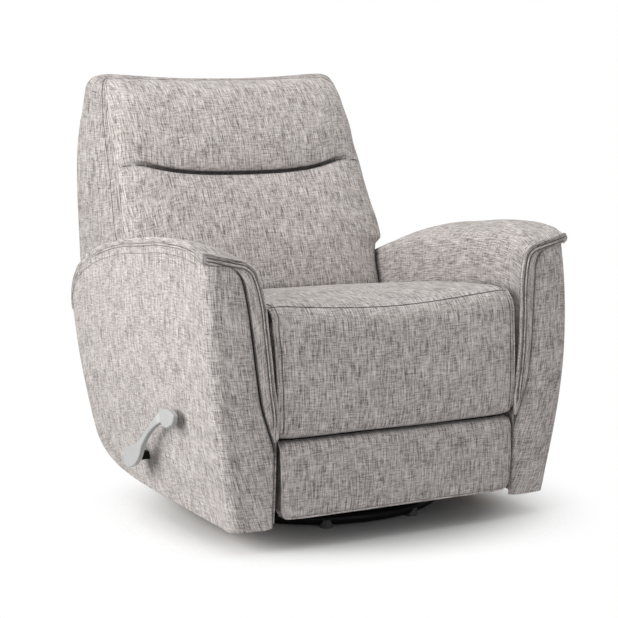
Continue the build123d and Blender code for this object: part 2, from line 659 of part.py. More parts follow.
def lever_handle():
    """A flat hub, a slim stem rising forwards and a grip hooked at its end."""
    blade = make_face([
        ThreePointArc((-10, -22), (-54, -2), (-82, 36)),
        ThreePointArc((-82, 36), (-135, 83), (-197, 114)),
        ThreePointArc((-197, 114), (-222, 107), (-246, 115)),
        ThreePointArc((-246, 115), (-264, 126), (-268, 142)),
        ThreePointArc((-268, 142), (-226, 149), (-186, 135)),
        ThreePointArc((-186, 135), (-130, 96), (-72, 52)),
        ThreePointArc((-72, 52), (-34, 34), (8, 23)),
        Line((8, 23), (-10, -22)),
    ])
    outline = blade + Circle(LEVER_HUB_R)
    outline = Pos(*TORQUE_PIVOT) * fillet(outline.vertices(), LEVER_CORNER_R)
    handle = prism_x(outline, -LEVER_OUTER_X, -LEVER_OUTER_X + LEVER_T)
    rim = handle.faces().sort_by(Axis.X)[0].edges()
    return fillet(rim, LEVER_EDGE_R)


# ------------------------------------------------------------------ back unit
def lean_point(along, forward=0.0):
    """A point (Y, Z) on the leaned back: along it from its foot, and forward of its seams."""
    lean = radians(BACK_LEAN)
    return (SEAM_FOOT[0] + along * sin(lean) - forward * cos(lean),
            SEAM_FOOT[1] + along * cos(lean) + forward * sin(lean))


def cushion_face(start, end, bulge, top_radius=0.0):
    """A D-shaped section: flat behind, crowned in front."""
    middle = (start + end) / 2
    depth = BACK_CUSHION_DEPTH
    low, high = lean_point(start), lean_point(end - top_radius)
    edges = [ThreePointArc(low, lean_point(middle, bulge), high)]
    if top_radius:
        corner = lean_point(end - 0.3 * top_radius, -0.3 * top_radius)
        top = lean_point(end, -top_radius)
        edges.append(ThreePointArc(high, corner, top))
        high = top
    edges.append(Polyline(high, lean_point(end, -depth), lean_point(start, -depth), low))
    return make_face(edges)


def back_cushions():
    arm_side = ARM_INNER_X
    width = make_face(Polyline(*[
        (side * x, z)
        for side, rows in ((1, 1), (-1, -1))
        for x, z in [(arm_side + 3, 430), (arm_side + 15, 560), (arm_side + 30, 640),
                     (arm_side + 14, 880), (arm_side - 6, 1000)][::rows]
    ], close=True))
    slab = prism_y(width, 0, 500)
    lumbar = prism_x(cushion_face(-20, LUMBAR_LENGTH, LUMBAR_BULGE), -360, 360) & slab
    seam, rear, seat_top = seat_top_edges(SOFT_GAP)
    below = make_face(seat_top + [
        Polyline(rear, (BACK_PIVOT[0] + 30, rear[1] - 4), (BACK_PIVOT[0] + 30, 300), (SEAT_SEAM_Y, 300),
                 seam),
    ])
    lumbar -= prism_x(below, -360, 360)
    start = LUMBAR_LENGTH + SOFT_GAP
    end = LUMBAR_LENGTH + HEADREST_LENGTH
    headrest = prism_x(cushion_face(start, end, HEADREST_BULGE, HEADREST_TOP_R), -360, 360) & slab
    return lumbar, headrest


def back_levels():
    """The outer back from its skirt to its top: height, front Y, half width there, rear Y, half width."""
    rear = DEPTH / 2
    seam = BACK_PIVOT[0]
    return [
        (BACK_SKIRT_Z, seam - 100, 356, rear - 24, 388),
        (560, seam - 45, 358, rear - 14, 389),
        (640, seam - 6, 354, rear - 9, 389),
        (760, seam + 53, 343, rear - 4, 388),
        (880, seam + 111, 337, rear, 378),
        (960, seam + 152, 329, rear, 363),
        (HEIGHT - 14, seam + 191, 311, rear - 2, 348),
        (HEIGHT, seam + 208, 302, rear - 16, 318),
    ]


def back_envelope():
    """The whole outer back, wider at the rear than at its front seams."""
    sections = []
    for z, front, half_front, rear, half_rear in back_levels():
        outline = Polyline(
            (-half_front, front), (half_front, front), (half_rear, rear), (-half_rear, rear), close=True,
        )
        sections.append((Pos(0, 0, z) * make_face(outline)).face())
    return loft(sections, ruled=True)


def back_cavity():
    """The room inside the outer back, open below and through its front."""
    wall = BACK_SHELL_T
    levels = back_levels()[:-1]
    levels[0] = (BACK_SKIRT_Z - 60,) + levels[0][1:]
    levels[-1] = (HEIGHT - wall,) + levels[-1][1:]
    sections = []
    for z, front, half_front, rear, half_rear in levels:
        outline = Polyline(
            (-half_front + wall, front - 150), (half_front - wall, front - 150),
            (half_front - wall, front), (half_rear - wall, rear - wall),
            (-half_rear + wall, rear - wall), (-half_front + wall, front), close=True,
        )
        sections.append((Pos(0, 0, z) * make_face(outline)).face())
    return loft(sections, ruled=True)


def back_pieces():
    lumbar, headrest = back_cushions()
    cavity = back_cavity()
    gap = BACK_ARM_GAP
    arm_room = prism_x(offset(arm_side_face(), gap), ARM_INNER_X - 40, 500)
    arm_room &= prism_y(offset(arm_front_face(), gap), -500, 400)
    shell = back_envelope() - cavity
    for room in both_sides(arm_room):
        shell -= room
    shell -= prism_x(make_face(Polyline(
        (100, 300), (100, 560), lean_point(-20, -BACK_CUSHION_DEPTH - 90), (360, 300), close=True,
    )), -400, 400)
    shell -= lumbar + headrest
    save("lumbar_cushion", lumbar)
    save("headrest_cushion", headrest)
    save("outer_back", shell)

    face_depth = BACK_CUSHION_DEPTH + BACK_FRAME_T
    lean = radians(BACK_LEAN)
    y, z = lean_point(0, -face_depth)
    board = Plane(origin=(0, y, z), x_dir=(1, 0, 0), z_dir=(0, -cos(lean), sin(lean)))
    stile = seat_rail_x - PLATE_T + BACK_STILE_W
    inner = stile - BACK_STILE_W
    top = LUMBAR_LENGTH + HEADREST_LENGTH - BACK_FRAME_BELOW_TOP
    narrow, wide = BACK_FRAME_WIDENS
    outline = Polyline(
        (-stile, BACK_FRAME_FOOT), (stile, BACK_FRAME_FOOT), (stile, narrow), (BACK_FRAME_HALF, wide),
        (BACK_FRAME_HALF, top), (-BACK_FRAME_HALF, top), (-BACK_FRAME_HALF, wide), (-stile, narrow),
        close=True,
    )
    opening = top - BACK_HEADER_W - BACK_SILL_TOP
    frame = make_face(outline) - Pos(0, BACK_SILL_TOP + opening / 2) * Rectangle(2 * inner, opening)
    frame = extrude(board * frame, amount=BACK_FRAME_T) & cavity
    foot, head = BACK_PIVOT, lean_point(170, -face_depth + 4)
    elbow = lean_point(60, -face_depth + 4)
    strip = bar(foot, elbow, LINK_W) + bar(elbow, head, LINK_W) - hole(foot, LINK_PIN_R + PIN_CLEARANCE)
    save_pair("back_bracket", prism_x(strip, crank_x, crank_x + LINK_T))
    for slot in both_sides(prism_x(strip, crank_x, PLATE_X)):
        frame -= slot
    save("back_frame", frame)
    straps = []
    pitch = opening / WEBBING_COUNT
    for i in range(WEBBING_COUNT):
        strap = Pos(0, BACK_SILL_TOP + pitch * (i + 0.5)) * Rectangle(2 * inner, WEBBING_W)
        straps.append(extrude(board.offset(BACK_FRAME_T - WEBBING_T) * strap, amount=WEBBING_T))
    save("back_webbing", *straps)


os.makedirs("parts", exist_ok=True)
base_pieces()
turntable_pieces()
glide_link_pieces()
frame_pieces()
arm_pieces()
seat_pieces()
leg_rest_pieces()
linkage_pieces()
lever_pieces()
back_pieces()
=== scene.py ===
"""Looks of the swivel glider recliner: covers, welts and stitching, finishes, light and camera."""
import math

import bpy
import numpy as np
from mathutils import Matrix, Vector


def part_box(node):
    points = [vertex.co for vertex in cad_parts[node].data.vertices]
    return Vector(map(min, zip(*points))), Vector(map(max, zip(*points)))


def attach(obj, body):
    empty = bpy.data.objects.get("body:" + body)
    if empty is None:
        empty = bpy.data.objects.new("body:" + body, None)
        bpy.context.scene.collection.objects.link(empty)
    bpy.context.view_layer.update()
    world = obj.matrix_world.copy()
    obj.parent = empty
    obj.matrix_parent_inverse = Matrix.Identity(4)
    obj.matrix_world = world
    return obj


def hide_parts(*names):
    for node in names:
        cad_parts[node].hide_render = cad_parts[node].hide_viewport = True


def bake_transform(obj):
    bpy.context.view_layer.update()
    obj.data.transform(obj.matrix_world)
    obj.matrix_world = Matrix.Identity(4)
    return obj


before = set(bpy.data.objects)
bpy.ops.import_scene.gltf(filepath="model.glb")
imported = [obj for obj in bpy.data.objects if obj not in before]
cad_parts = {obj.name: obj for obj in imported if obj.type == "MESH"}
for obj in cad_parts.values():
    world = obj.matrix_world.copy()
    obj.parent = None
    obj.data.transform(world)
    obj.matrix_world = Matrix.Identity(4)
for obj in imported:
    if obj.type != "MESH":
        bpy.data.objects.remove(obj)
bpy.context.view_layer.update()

MM = 0.001
PATCH_SHIFT = (0.37, 0.61)      # metres between the cloth of one patch and the next
OFF_AXIS = (0.31, 0.52, 0.8)    # a direction that no seam runs along


# ---------------- lines and grids
def along(table):
    """A smooth function through the rows of a table, read by its first column."""
    rows = np.array(table, float)
    x, y = rows[:, 0], rows[:, 1]
    slope = np.gradient(y, x)

    def value_at(value):
        v = np.clip(value, x[0], x[-1])
        k = np.clip(np.searchsorted(x, v, side="right") - 1, 0, len(x) - 2)
        h = x[k + 1] - x[k]
        u = (v - x[k]) / h
        return ((2 * u**3 - 3 * u**2 + 1) * y[k] + (u**3 - 2 * u**2 + u) * h * slope[k]
                + (3 * u**2 - 2 * u**3) * y[k + 1] + (u**3 - u**2) * h * slope[k + 1])

    return value_at


def lengths(line):
    """How far along a line each of its points lies."""
    return np.concatenate(([0], np.cumsum(np.linalg.norm(np.diff(line, axis=0), axis=1))))


def directions(line):
    """The way a line runs at each of its points."""
    way = np.gradient(line, axis=0)
    return way / np.linalg.norm(way, axis=1, keepdims=True)


def even(points, count):
    """The same line with evenly spaced points."""
    p = np.array(points, float)
    run = lengths(p)
    want = np.linspace(0, run[-1], count)
    return np.stack([np.interp(want, run, p[:, i]) for i in range(p.shape[1])], axis=1)


def smooth_line(points, count):
    """Evenly spaced points on a smooth line through the given ones."""
    p = np.array(points, float)
    run = lengths(p)
    fine = np.linspace(0, run[-1], count * 6)
    sides = [along(np.stack([run, p[:, i]], axis=1))(fine) for i in range(p.shape[1])]
    return even(np.stack(sides, axis=1), count)


def bend(a, corner, b, count):
    """A soft turn from a to b past a corner, without its two ends."""
    a, corner, b = (np.array(p, float) for p in (a, corner, b))
    t = np.linspace(0, 1, count + 2)[1:-1, None]
    return (1 - t)**2 * a + 2 * t * (1 - t) * corner + t**2 * b


def patch(bottom, top, left, right):
    """A grid between four lines: bottom and top run left to right, left and right run upwards."""
    u = np.linspace(0, 1, len(bottom))[None, :, None]
    v = np.linspace(0, 1, len(left))[:, None, None]
    edges = (1 - v) * bottom[None] + v * top[None] + (1 - u) * left[:, None] + u * right[:, None]
    corners = ((1 - u) * (1 - v) * bottom[0] + u * (1 - v) * bottom[-1]
               + (1 - u) * v * top[0] + u * v * top[-1])
    return edges - corners


def spread(count, reach):
    """Places across a cloth from -1 to 1, closer together towards its sides."""
    return np.sin(np.linspace(-1, 1, count) * math.pi / 2 * reach) / math.sin(math.pi / 2 * reach)


def rolled(across, power):
    """How far a cloth has rolled over towards its sides, from 0 to 1; a high power keeps it flat."""
    return 1 - np.sqrt(np.clip(1 - np.abs(across)**power, 0, 1))


def normals_of(grid):
    """The outward direction at each point of a grid."""
    across = np.gradient(grid, axis=1)
    up = np.gradient(grid, axis=0)
    n = np.cross(across, up)
    return n / np.maximum(np.linalg.norm(n, axis=2, keepdims=True), 1e-9)


def ripple(points, size, seed):
    """Gentle unevenness between -1 and 1, the same on every run."""
    rng = np.random.default_rng(seed)
    total = np.zeros(points.shape[:-1])
    for _ in range(5):
        way = rng.normal(size=3)
        way *= 2 * math.pi / (size * np.linalg.norm(way)) * rng.uniform(0.6, 1.5)
        total += np.sin(points @ way + rng.uniform(0, 2 * math.pi))
    return total / 5


# ---------------- meshes
def cloth_object(name, grids, material):
    """One mesh from grids in millimetres, with cloth coordinates in metres along the surface."""
    verts, faces, cloth = [], [], []
    for n, grid in enumerate(grids):
        rows, cols = grid.shape[:2]
        first = len(verts)
        verts += (grid.reshape(-1, 3) * MM).tolist()
        u = np.zeros((rows, cols))
        v = np.zeros((rows, cols))
        u[:, 1:] = np.cumsum(np.linalg.norm(np.diff(grid, axis=1), axis=2), axis=1)
        u -= u[:, cols // 2][:, None]
        v[1:] = np.cumsum(np.linalg.norm(np.diff(grid, axis=0), axis=2), axis=0)
        v -= v[rows // 2][None]
        cloth += (np.stack([u, v], axis=2).reshape(-1, 2) * MM + np.multiply(PATCH_SHIFT, n)).tolist()
        for i in range(rows - 1):
            for j in range(cols - 1):
                a = first + i * cols + j
                faces.append((a, a + 1, a + cols + 1, a + cols))
    mesh = bpy.data.meshes.new(name)
    mesh.from_pydata(verts, [], faces)
    layer = mesh.uv_layers.new(name="cloth")
    loops = np.empty(len(mesh.loops), int)
    mesh.loops.foreach_get("vertex_index", loops)
    layer.data.foreach_set("uv", np.array(cloth)[loops].ravel())
    mesh.polygons.foreach_set("use_smooth", [True] * len(faces))
    mesh.materials.append(material)
    mesh.update()
    piece = bpy.data.objects.new(name, mesh)
    bpy.context.collection.objects.link(piece)
    return piece


def mirrored(grid):
    """The grid on the chair's other side, still facing outwards."""
    return (grid * (-1, 1, 1))[:, ::-1]


def cord_grid(line, radius, sides=8):
    """A tube round a line, as a grid whose rows are its rings."""
    p = np.array(line, float)
    way = directions(p)
    side = np.cross(way, np.array(OFF_AXIS))
    side /= np.maximum(np.linalg.norm(side, axis=1, keepdims=True), 1e-9)
    other = np.cross(side, way)
    taper = np.ones(len(p))
    taper[[0, -1]] = 0.15
    turn = np.linspace(0, 2 * math.pi, sides + 1)
    ring = np.cos(turn)[None, :, None] * side[:, None] + np.sin(turn)[None, :, None] * other[:, None]
    return p[:, None] + ring * radius * taper[:, None, None]


def stitch_grids(line, length=4.6, pitch=6.6, radius=0.55):
    """Short thread tubes along a line."""
    p = np.array(line, float)
    count = max(2, int(lengths(p)[-1] / pitch))
    fine = even(p, count * 6 + 1)
    share = max(2, round(6 * length / pitch))
    return [cord_grid(fine[6 * i:6 * i + share + 1], radius, 5) for i in range(count)]


# ---------------- materials
def wire(tree, kind, inputs=(), **settings):
    """One shader node with its settings and inputs; an input is a value or another node's output."""
    node = tree.nodes.new(kind)
    for key, value in settings.items():
        setattr(node, key, value)
    for key, value in dict(inputs).items():
        socket = node.inputs[key]
        if isinstance(value, bpy.types.NodeSocket):
            tree.links.new(value, socket)
        else:
            socket.default_value = value
    return node


def maths(tree, operation, a, b=0.0, clamp=False):
    """The output of one math node."""
    return wire(tree, "ShaderNodeMath", {0: a, 1: b}, operation=operation, use_clamp=clamp).outputs[0]


def mixed(tree, share, low, high):
    """The output of one colour mix."""
    return wire(tree, "ShaderNodeMix", {0: share, 6: low, 7: high}, data_type="RGBA").outputs[2]


def noise(tree, vector, scale, detail, **more):
    """The output of one noise texture."""
    inputs = {"Vector": vector, "Scale": scale, "Detail": detail, **more}
    return wire(tree, "ShaderNodeTexNoise", inputs).outputs[0]


def scaled(tone, level=1.0):
    """A colour made lighter or darker, with its alpha."""
    return tuple(level * c for c in tone) + (1,)


def new_group(name, inputs, outputs):
    """A node group with named sockets, each a name and a kind."""
    group = bpy.data.node_groups.new(name, "ShaderNodeTree")
    for way, sockets in (("INPUT", inputs), ("OUTPUT", outputs)):
        for label, kind in sockets:
            group.interface.new_socket(name=label, in_out=way, socket_type=kind)
    return group, group.nodes.new("NodeGroupInput"), group.nodes.new("NodeGroupOutput")


def tweed_group():
    """Plain weave of slubby two-tone yarn: colour and height from cloth coordinates in metres."""
    group, given, result = new_group("Heathered tweed", [
        ("Cloth", "NodeSocketVector"), ("Yarn pitch", "NodeSocketFloat"), ("Light yarn", "NodeSocketColor"),
        ("Mid yarn", "NodeSocketColor"), ("Dark yarn", "NodeSocketColor"), ("Mottle", "NodeSocketFloat"),
    ], [("Color", "NodeSocketColor"), ("Height", "NodeSocketFloat")])
    cloth, pitch = given.outputs["Cloth"], given.outputs["Yarn pitch"]
    place = wire(group, "ShaderNodeSeparateXYZ", {0: cloth})
    waver = noise(group, cloth, 90.0, 1.0)
    drift = maths(group, "MULTIPLY", maths(group, "SUBTRACT", waver, 0.5), 0.0022)
    across = maths(group, "ADD", place.outputs[0], drift)
    upward = maths(group, "ADD", place.outputs[1], drift)
    # each set of yarns gets its slubs, its rounded tops and where it passes over the other set
    yarns = {}
    for name, main, other, run, lift in (
            ("warp", across, upward, 36.0, 0.0), ("weft", upward, across, 60.0, 9.3)):
        count = maths(group, "DIVIDE", main, pitch)
        number = maths(group, "FLOOR", count)
        spot = wire(group, "ShaderNodeCombineXYZ", {
            0: maths(group, "MULTIPLY", number, 3.71), 1: maths(group, "MULTIPLY", other, run), 2: lift})
        slub = noise(group, spot.outputs[0], 1.0, 2.0, Roughness=0.6)
        inside = maths(group, "SUBTRACT", count, number)
        round_top = maths(group, "SINE", maths(group, "MULTIPLY", inside, math.pi))
        crossing = maths(group, "DIVIDE", other, pitch)
        wave = maths(group, "SINE", maths(group, "MULTIPLY", crossing, math.pi))
        odd = maths(group, "PINGPONG", number, 1.0)
        parity = maths(group, "SUBTRACT", maths(group, "MULTIPLY", odd, 2.0), 1.0)
        yarns[name] = (slub, round_top, maths(group, "MULTIPLY", wave, parity))
    # long thin streaks along both sets
    streaks = []
    for scale in ((520.0, 20.0, 0.0), (26.0, 560.0, 4.0)):
        drawn = wire(group, "ShaderNodeMapping", {0: cloth, "Scale": scale, "Location": scale})
        streaks.append(noise(group, drawn.outputs[0], 1.0, 1.0, Roughness=0.5))
    # the yarn that lies on top gives the height; tone adds up the slubs, streaks, fuzz and clouds
    over = maths(group, "ADD", maths(group, "MULTIPLY", yarns["warp"][2], 1.3), 0.58, clamp=True)
    slub = wire(group, "ShaderNodeMix", {0: over, 2: yarns["weft"][0], 3: yarns["warp"][0]}).outputs[0]
    top = wire(group, "ShaderNodeMix", {0: over, 2: yarns["weft"][1], 3: yarns["warp"][1]}).outputs[0]
    fuzz = noise(group, cloth, 1000.0, 1.0)
    cloud = noise(group, cloth, 14.0, 2.0)
    tone = 0.5
    for source, weight in (
            (yarns["warp"][0], 0.9), (yarns["weft"][0], 0.6), (streaks[0], 0.75), (streaks[1], 0.45),
            (fuzz, 0.35), (cloud, given.outputs["Mottle"])):
        centred = maths(group, "SUBTRACT", source, 0.5)
        tone = maths(group, "ADD", tone, maths(group, "MULTIPLY", centred, weight))
    dark_part = wire(group, "ShaderNodeMapRange", {0: tone, 1: 0.22, 2: 0.50})
    light_part = wire(group, "ShaderNodeMapRange", {0: tone, 1: 0.50, 2: 0.78})
    base = mixed(group, dark_part.outputs[0], given.outputs["Dark yarn"], given.outputs["Mid yarn"])
    lit = mixed(group, light_part.outputs[0], base, given.outputs["Light yarn"])
    # painted shade: the colour darkens between the rounded yarn tops
    shade = maths(group, "ADD", maths(group, "MULTIPLY", top, 0.50), 0.64)
    grey = wire(group, "ShaderNodeCombineXYZ", {0: shade, 1: shade, 2: shade})
    shaded = wire(group, "ShaderNodeVectorMath", {0: lit, 1: grey.outputs[0]}, operation="MULTIPLY")
    height = maths(group, "ADD", maths(group, "MULTIPLY", top, 0.6), maths(group, "MULTIPLY", slub, 0.8))
    group.links.new(shaded.outputs[0], result.inputs["Color"])
    group.links.new(height, result.inputs["Height"])
    return group


def wear_group():
    """Rub marks and dust: a mask that is higher on outside corners, soft blotches and fine grain."""
    group, given, result = new_group("Rub and dust", [
        ("Scale", "NodeSocketFloat"), ("Edge", "NodeSocketFloat"),
    ], [("Edge mask", "NodeSocketFloat"), ("Blotch", "NodeSocketFloat"), ("Grain", "NodeSocketFloat")])
    where = wire(group, "ShaderNodeTexCoord").outputs["Object"]
    shape = wire(group, "ShaderNodeNewGeometry")
    convex = wire(group, "ShaderNodeMapRange", {0: shape.outputs["Pointiness"], 1: 0.51, 2: 0.58})
    edge = maths(group, "MULTIPLY", convex.outputs[0], given.outputs["Edge"], clamp=True)
    group.links.new(edge, result.inputs["Edge mask"])
    group.links.new(noise(group, where, given.outputs["Scale"], 4.0), result.inputs["Blotch"])
    group.links.new(noise(group, where, 420.0, 2.0), result.inputs["Grain"])
    return group


def fold_shade_group():
    """How much darker cloth is where it dips into a seam, a crease or a narrow gap."""
    group, given, result = new_group("Fold shade", [
        ("Reach", "NodeSocketFloat"), ("Darkest", "NodeSocketFloat")], [("Level", "NodeSocketFloat")])
    open_part = wire(group, "ShaderNodeAmbientOcclusion", {"Distance": given.outputs["Reach"]}, samples=8)
    level = wire(group, "ShaderNodeMapRange", {
        0: open_part.outputs["AO"], 1: 0.12, 2: 0.85, 3: given.outputs["Darkest"], 4: 1.0})
    group.links.new(level.outputs[0], result.inputs["Level"])
    return group


TWEED = tweed_group()
FOLD_SHADE = fold_shade_group()
WEAR = wear_group()


def start_material(name):
    """A new material with its node tree and its main shader."""
    material = bpy.data.materials.new(name)
    material.use_nodes = True
    tree = material.node_tree
    return material, tree, tree.nodes["Principled BSDF"]


def surface(tree, shader, colour, roughness, height=None, strength=0.0, depth=0.0):
    """Colour, roughness and bumps of a material's main shader."""
    tree.links.new(colour, shader.inputs["Base Color"])
    shader.inputs["Roughness"].default_value = roughness
    if height is not None:
        bump = wire(tree, "ShaderNodeBump", {"Strength": strength, "Distance": depth, "Height": height})
        tree.links.new(bump.outputs[0], shader.inputs["Normal"])


YARN_TONES = {"Light yarn": (0.70, 0.659, 0.641), "Mid yarn": (0.43, 0.394, 0.376),
              "Dark yarn": (0.125, 0.111, 0.103)}


def fabric(name, level=1.0, pitch=0.0020, turned=False):
    """The chair's heathered cover cloth; a level other than 1 gives a lighter or darker copy, used as painted
    highlight or painted shade.
    """
    material, tree, shader = start_material(name)
    place = wire(tree, "ShaderNodeUVMap", uv_map="cloth").outputs[0]
    if turned:
        place = wire(tree, "ShaderNodeMapping", {0: place, "Rotation": (0, 0, math.pi / 2)}).outputs[0]
    tones = {label: scaled(tone, level) for label, tone in YARN_TONES.items()}
    weave = wire(tree, "ShaderNodeGroup", {
        "Cloth": place, "Yarn pitch": pitch, "Mottle": 0.14, **tones}, node_tree=TWEED)
    fold = wire(tree, "ShaderNodeGroup", {"Reach": 0.02, "Darkest": 0.18}, node_tree=FOLD_SHADE)
    deep = wire(tree, "ShaderNodeVectorMath", {
        0: weave.outputs["Color"], "Scale": fold.outputs["Level"]}, operation="SCALE")
    surface(tree, shader, deep.outputs[0], 0.94, weave.outputs["Height"], 0.7, 0.0012)
    shader.inputs["Specular IOR Level"].default_value = 0.18
    shader.inputs["Sheen Weight"].default_value = 0.12
    shader.inputs["Sheen Roughness"].default_value = 0.5
    return material


def thread(name, tone):
    """Twisted sewing thread."""
    material, tree, shader = start_material(name)
    where = wire(tree, "ShaderNodeTexCoord")
    twist = wire(tree, "ShaderNodeTexWave", {
        "Vector": where.outputs["Object"], "Scale": 260.0, "Distortion": 1.5}, bands_direction="DIAGONAL")
    surface(tree, shader, mixed(tree, twist.outputs[1], scaled(tone, 0.62), scaled(tone)), 0.8)
    return material


def painted(name, tone, roughness, metallic=0.0, edge_tone=None, gloss=0.5):
    """Paint, plastic or bare metal with rubbed edges, faint blotches and fine grain."""
    material, tree, shader = start_material(name)
    wear = wire(tree, "ShaderNodeGroup", {"Scale": 14.0, "Edge": 1.0}, node_tree=WEAR)
    edge_tone = edge_tone or tuple(min(1.0, 1.5 * c + 0.02) for c in tone)
    blotched = mixed(tree, wear.outputs["Blotch"], scaled(tone, 0.86), scaled(tone, 1.14))
    edged = mixed(tree, wear.outputs["Edge mask"], blotched, scaled(edge_tone))
    surface(tree, shader, edged, roughness, wear.outputs["Grain"], 0.35, 0.00012)
    rough = wire(tree, "ShaderNodeMapRange", {
        0: wear.outputs["Blotch"], 1: 0.3, 2: 0.7, 3: roughness - 0.06, 4: roughness + 0.08})
    tree.links.new(rough.outputs[0], shader.inputs["Roughness"])
    shader.inputs["Metallic"].default_value = metallic
    shader.inputs["Specular IOR Level"].default_value = gloss
    return material


def plywood():
    """Birch plywood with a soft grain."""
    material, tree, shader = start_material("birch plywood")
    where = wire(tree, "ShaderNodeTexCoord")
    grain = wire(tree, "ShaderNodeMapping", {0: where.outputs["Object"], "Scale": (30.0, 4.0, 60.0)})
    rings = noise(tree, grain.outputs[0], 2.0, 5.0, Distortion=1.2)
    tint = mixed(tree, rings, (0.36, 0.22, 0.11, 1), (0.66, 0.47, 0.28, 1))
    surface(tree, shader, tint, 0.62, rings, 0.4, 0.0004)
    return material


def webbing_material():
    """Ribbed elastic webbing."""
    material, tree, shader = start_material("elastic webbing")
    where = wire(tree, "ShaderNodeTexCoord")
    ribs = wire(tree, "ShaderNodeTexWave", {
        "Vector": where.outputs["Object"], "Scale": 130.0, "Distortion": 0.6}, bands_direction="Z")
    tint = mixed(tree, ribs.outputs[1], (0.10, 0.08, 0.06, 1), (0.30, 0.25, 0.19, 1))
    surface(tree, shader, tint, 0.85, ribs.outputs[1], 0.5, 0.0006)
    return material


COVER = fabric("heathered cover cloth")
COVER_TURNED = fabric("heathered cover cloth, turned", turned=True)
# painted shade: a darker copy of the cover cloth for the footrest
COVER_LOW_SHADED = fabric("heathered cover cloth, low panel, painted shade", 0.93)
# painted shade: a darker copy of the cover cloth for the outside back
COVER_BACK_SHADED = fabric("heathered cover cloth, outside back, painted shade", 0.87)
# painted highlight: the welts' cloth is a little lighter than the cover, as if they caught more light
WELT_HIGHLIGHTED = fabric("welt cloth, painted highlight", 1.06, 0.0019)
# painted shade: a dark copy of the cover cloth, for cords and walls that stand in for shade in seams, creases
# and gaps
SEAM_SHADE = fabric("sunk seam painted shade cloth", 0.30, 0.0015)
THREAD = thread("seam thread", (0.26, 0.22, 0.20))
BLACK_STEEL = painted("black powder coat", (0.005, 0.005, 0.006), 0.42,
                      edge_tone=(0.012, 0.012, 0.012), gloss=0.06)
ZINC = painted("zinc plated steel", (0.55, 0.56, 0.58), 0.32, metallic=1.0)
SPRING_STEEL = painted("dark spring steel", (0.13, 0.13, 0.14), 0.38, metallic=0.9)
GLIDE_PLASTIC = painted("black glide plastic", (0.012, 0.012, 0.012), 0.5, gloss=0.3)
LEVER_PLASTIC = painted("grey lever plastic", (0.345, 0.35, 0.345), 0.34, edge_tone=(0.42, 0.43, 0.42))
# painted shade: black wood, so that the side rails and boards read as shade where they show
SHADE_BLACK_WOOD = painted("wood painted black as shade", (0.012, 0.011, 0.010), 0.7, gloss=0.2)
PLYWOOD = plywood()
WEBBING = webbing_material()


# ---------------- arms
# CREST, ARM_HEEL and ARM_REAR are (y, z), FRONT_SEAM is (x, z). FLARE and INNER give x by height and
# FRONT_Y gives y by height. All are for the right arm; the left one is its mirror.
CREST = smooth_line([
    (-447, 640), (-410, 653), (-360, 660.5), (-281, 662), (-200, 659), (-115, 650), (-27, 642), (54, 630),
    (131, 613), (198, 593), (253, 571), (296, 543), (319, 514), (330, 485), (331, 466)], 96)
FLARE = along([(40, 398), (51, 401), (100, 409), (200, 427), (300, 442), (400, 451.5), (480, 455.5),
               (560, 456.5), (625, 455), (700, 453)])
INNER = along([(40, 303), (246, 303), (300, 305), (363, 311), (426, 316.5), (479, 321), (527, 324.5),
               (559, 329), (581, 334), (600, 339), (622, 349), (700, 392)])
FRONT_Y = along([(40, -459), (51, -460), (150, -468), (250, -473), (325, -474.5), (400, -473), (480, -468),
                 (560, -459), (640, -447), (700, -440)])
FRONT_SEAM = smooth_line([
    (303, 54), (303, 150), (304.5, 225), (317, 262), (331, 305), (343, 379), (353, 481), (361, 546),
    (366, 578), (375, 598), (392, 609), (431, 617), (453, 623)], 90)
ARM_HEEL = smooth_line([
    (-460, 51), (-192, 55), (-20, 58), (94, 64), (183, 77), (236, 93), (268, 110)], 70)
ARM_REAR = smooth_line([
    (268, 110), (283, 128), (291, 160), (305, 262), (316, 338), (325, 410), (330, 452)], 44)
ARM_ROWS = 44
ARM_FOOT = 51           # height of the arm's lower edge in front
PANEL_TOP = 602         # where the front panel's seam starts to turn outwards
ARM_FALL = 0.27         # slope of the arm's top towards the seat
SHOULDER_X = 350        # where the inner side turns onto the arm's top
LIP_DROP = 15.0         # from the crest down to the lip's lower edge
LIP_X = 457.0           # outer edge of the overhanging lip
CORNER_R = 30.0         # the soft turn from the front to the outer side
BAND_STEPS = (5.0, 9.0, 13.0)   # sunk seam, welt and second seam, from the arm's inner front edge; the two seams get dark cords as painted shade
STITCH_INSET = 16.0


def arm_side_face(front_z):
    """The arm's outer side, from the soft front corner to the rear."""
    columns = 70
    top_line = even(CREST - (0, LIP_DROP), columns)
    front_line = np.stack([FRONT_Y(front_z) + CORNER_R, front_z], axis=1)
    heel = ARM_HEEL.copy()
    heel[:, 0] += CORNER_R * np.linspace(1, 0, columns)
    top_line[:, 0] += CORNER_R * np.linspace(1, 0, columns)**3
    side = patch(heel, top_line, front_line, even(ARM_REAR, ARM_ROWS))
    y, z = side[..., 0], side[..., 1]
    x = FLARE(z)
    # a little fullness in the middle of the side
    belly = np.sin(np.clip((z - ARM_FOOT) / 560, 0, 1) * math.pi)
    belly = belly * np.sin(np.clip((y + 470) / 780, 0, 1) * math.pi)
    x = x + 1.5 * belly + 0.9 * ripple(np.stack([x * 0, y, z], axis=2), 190, 4) * belly
    return np.stack([x, y, z], axis=2)


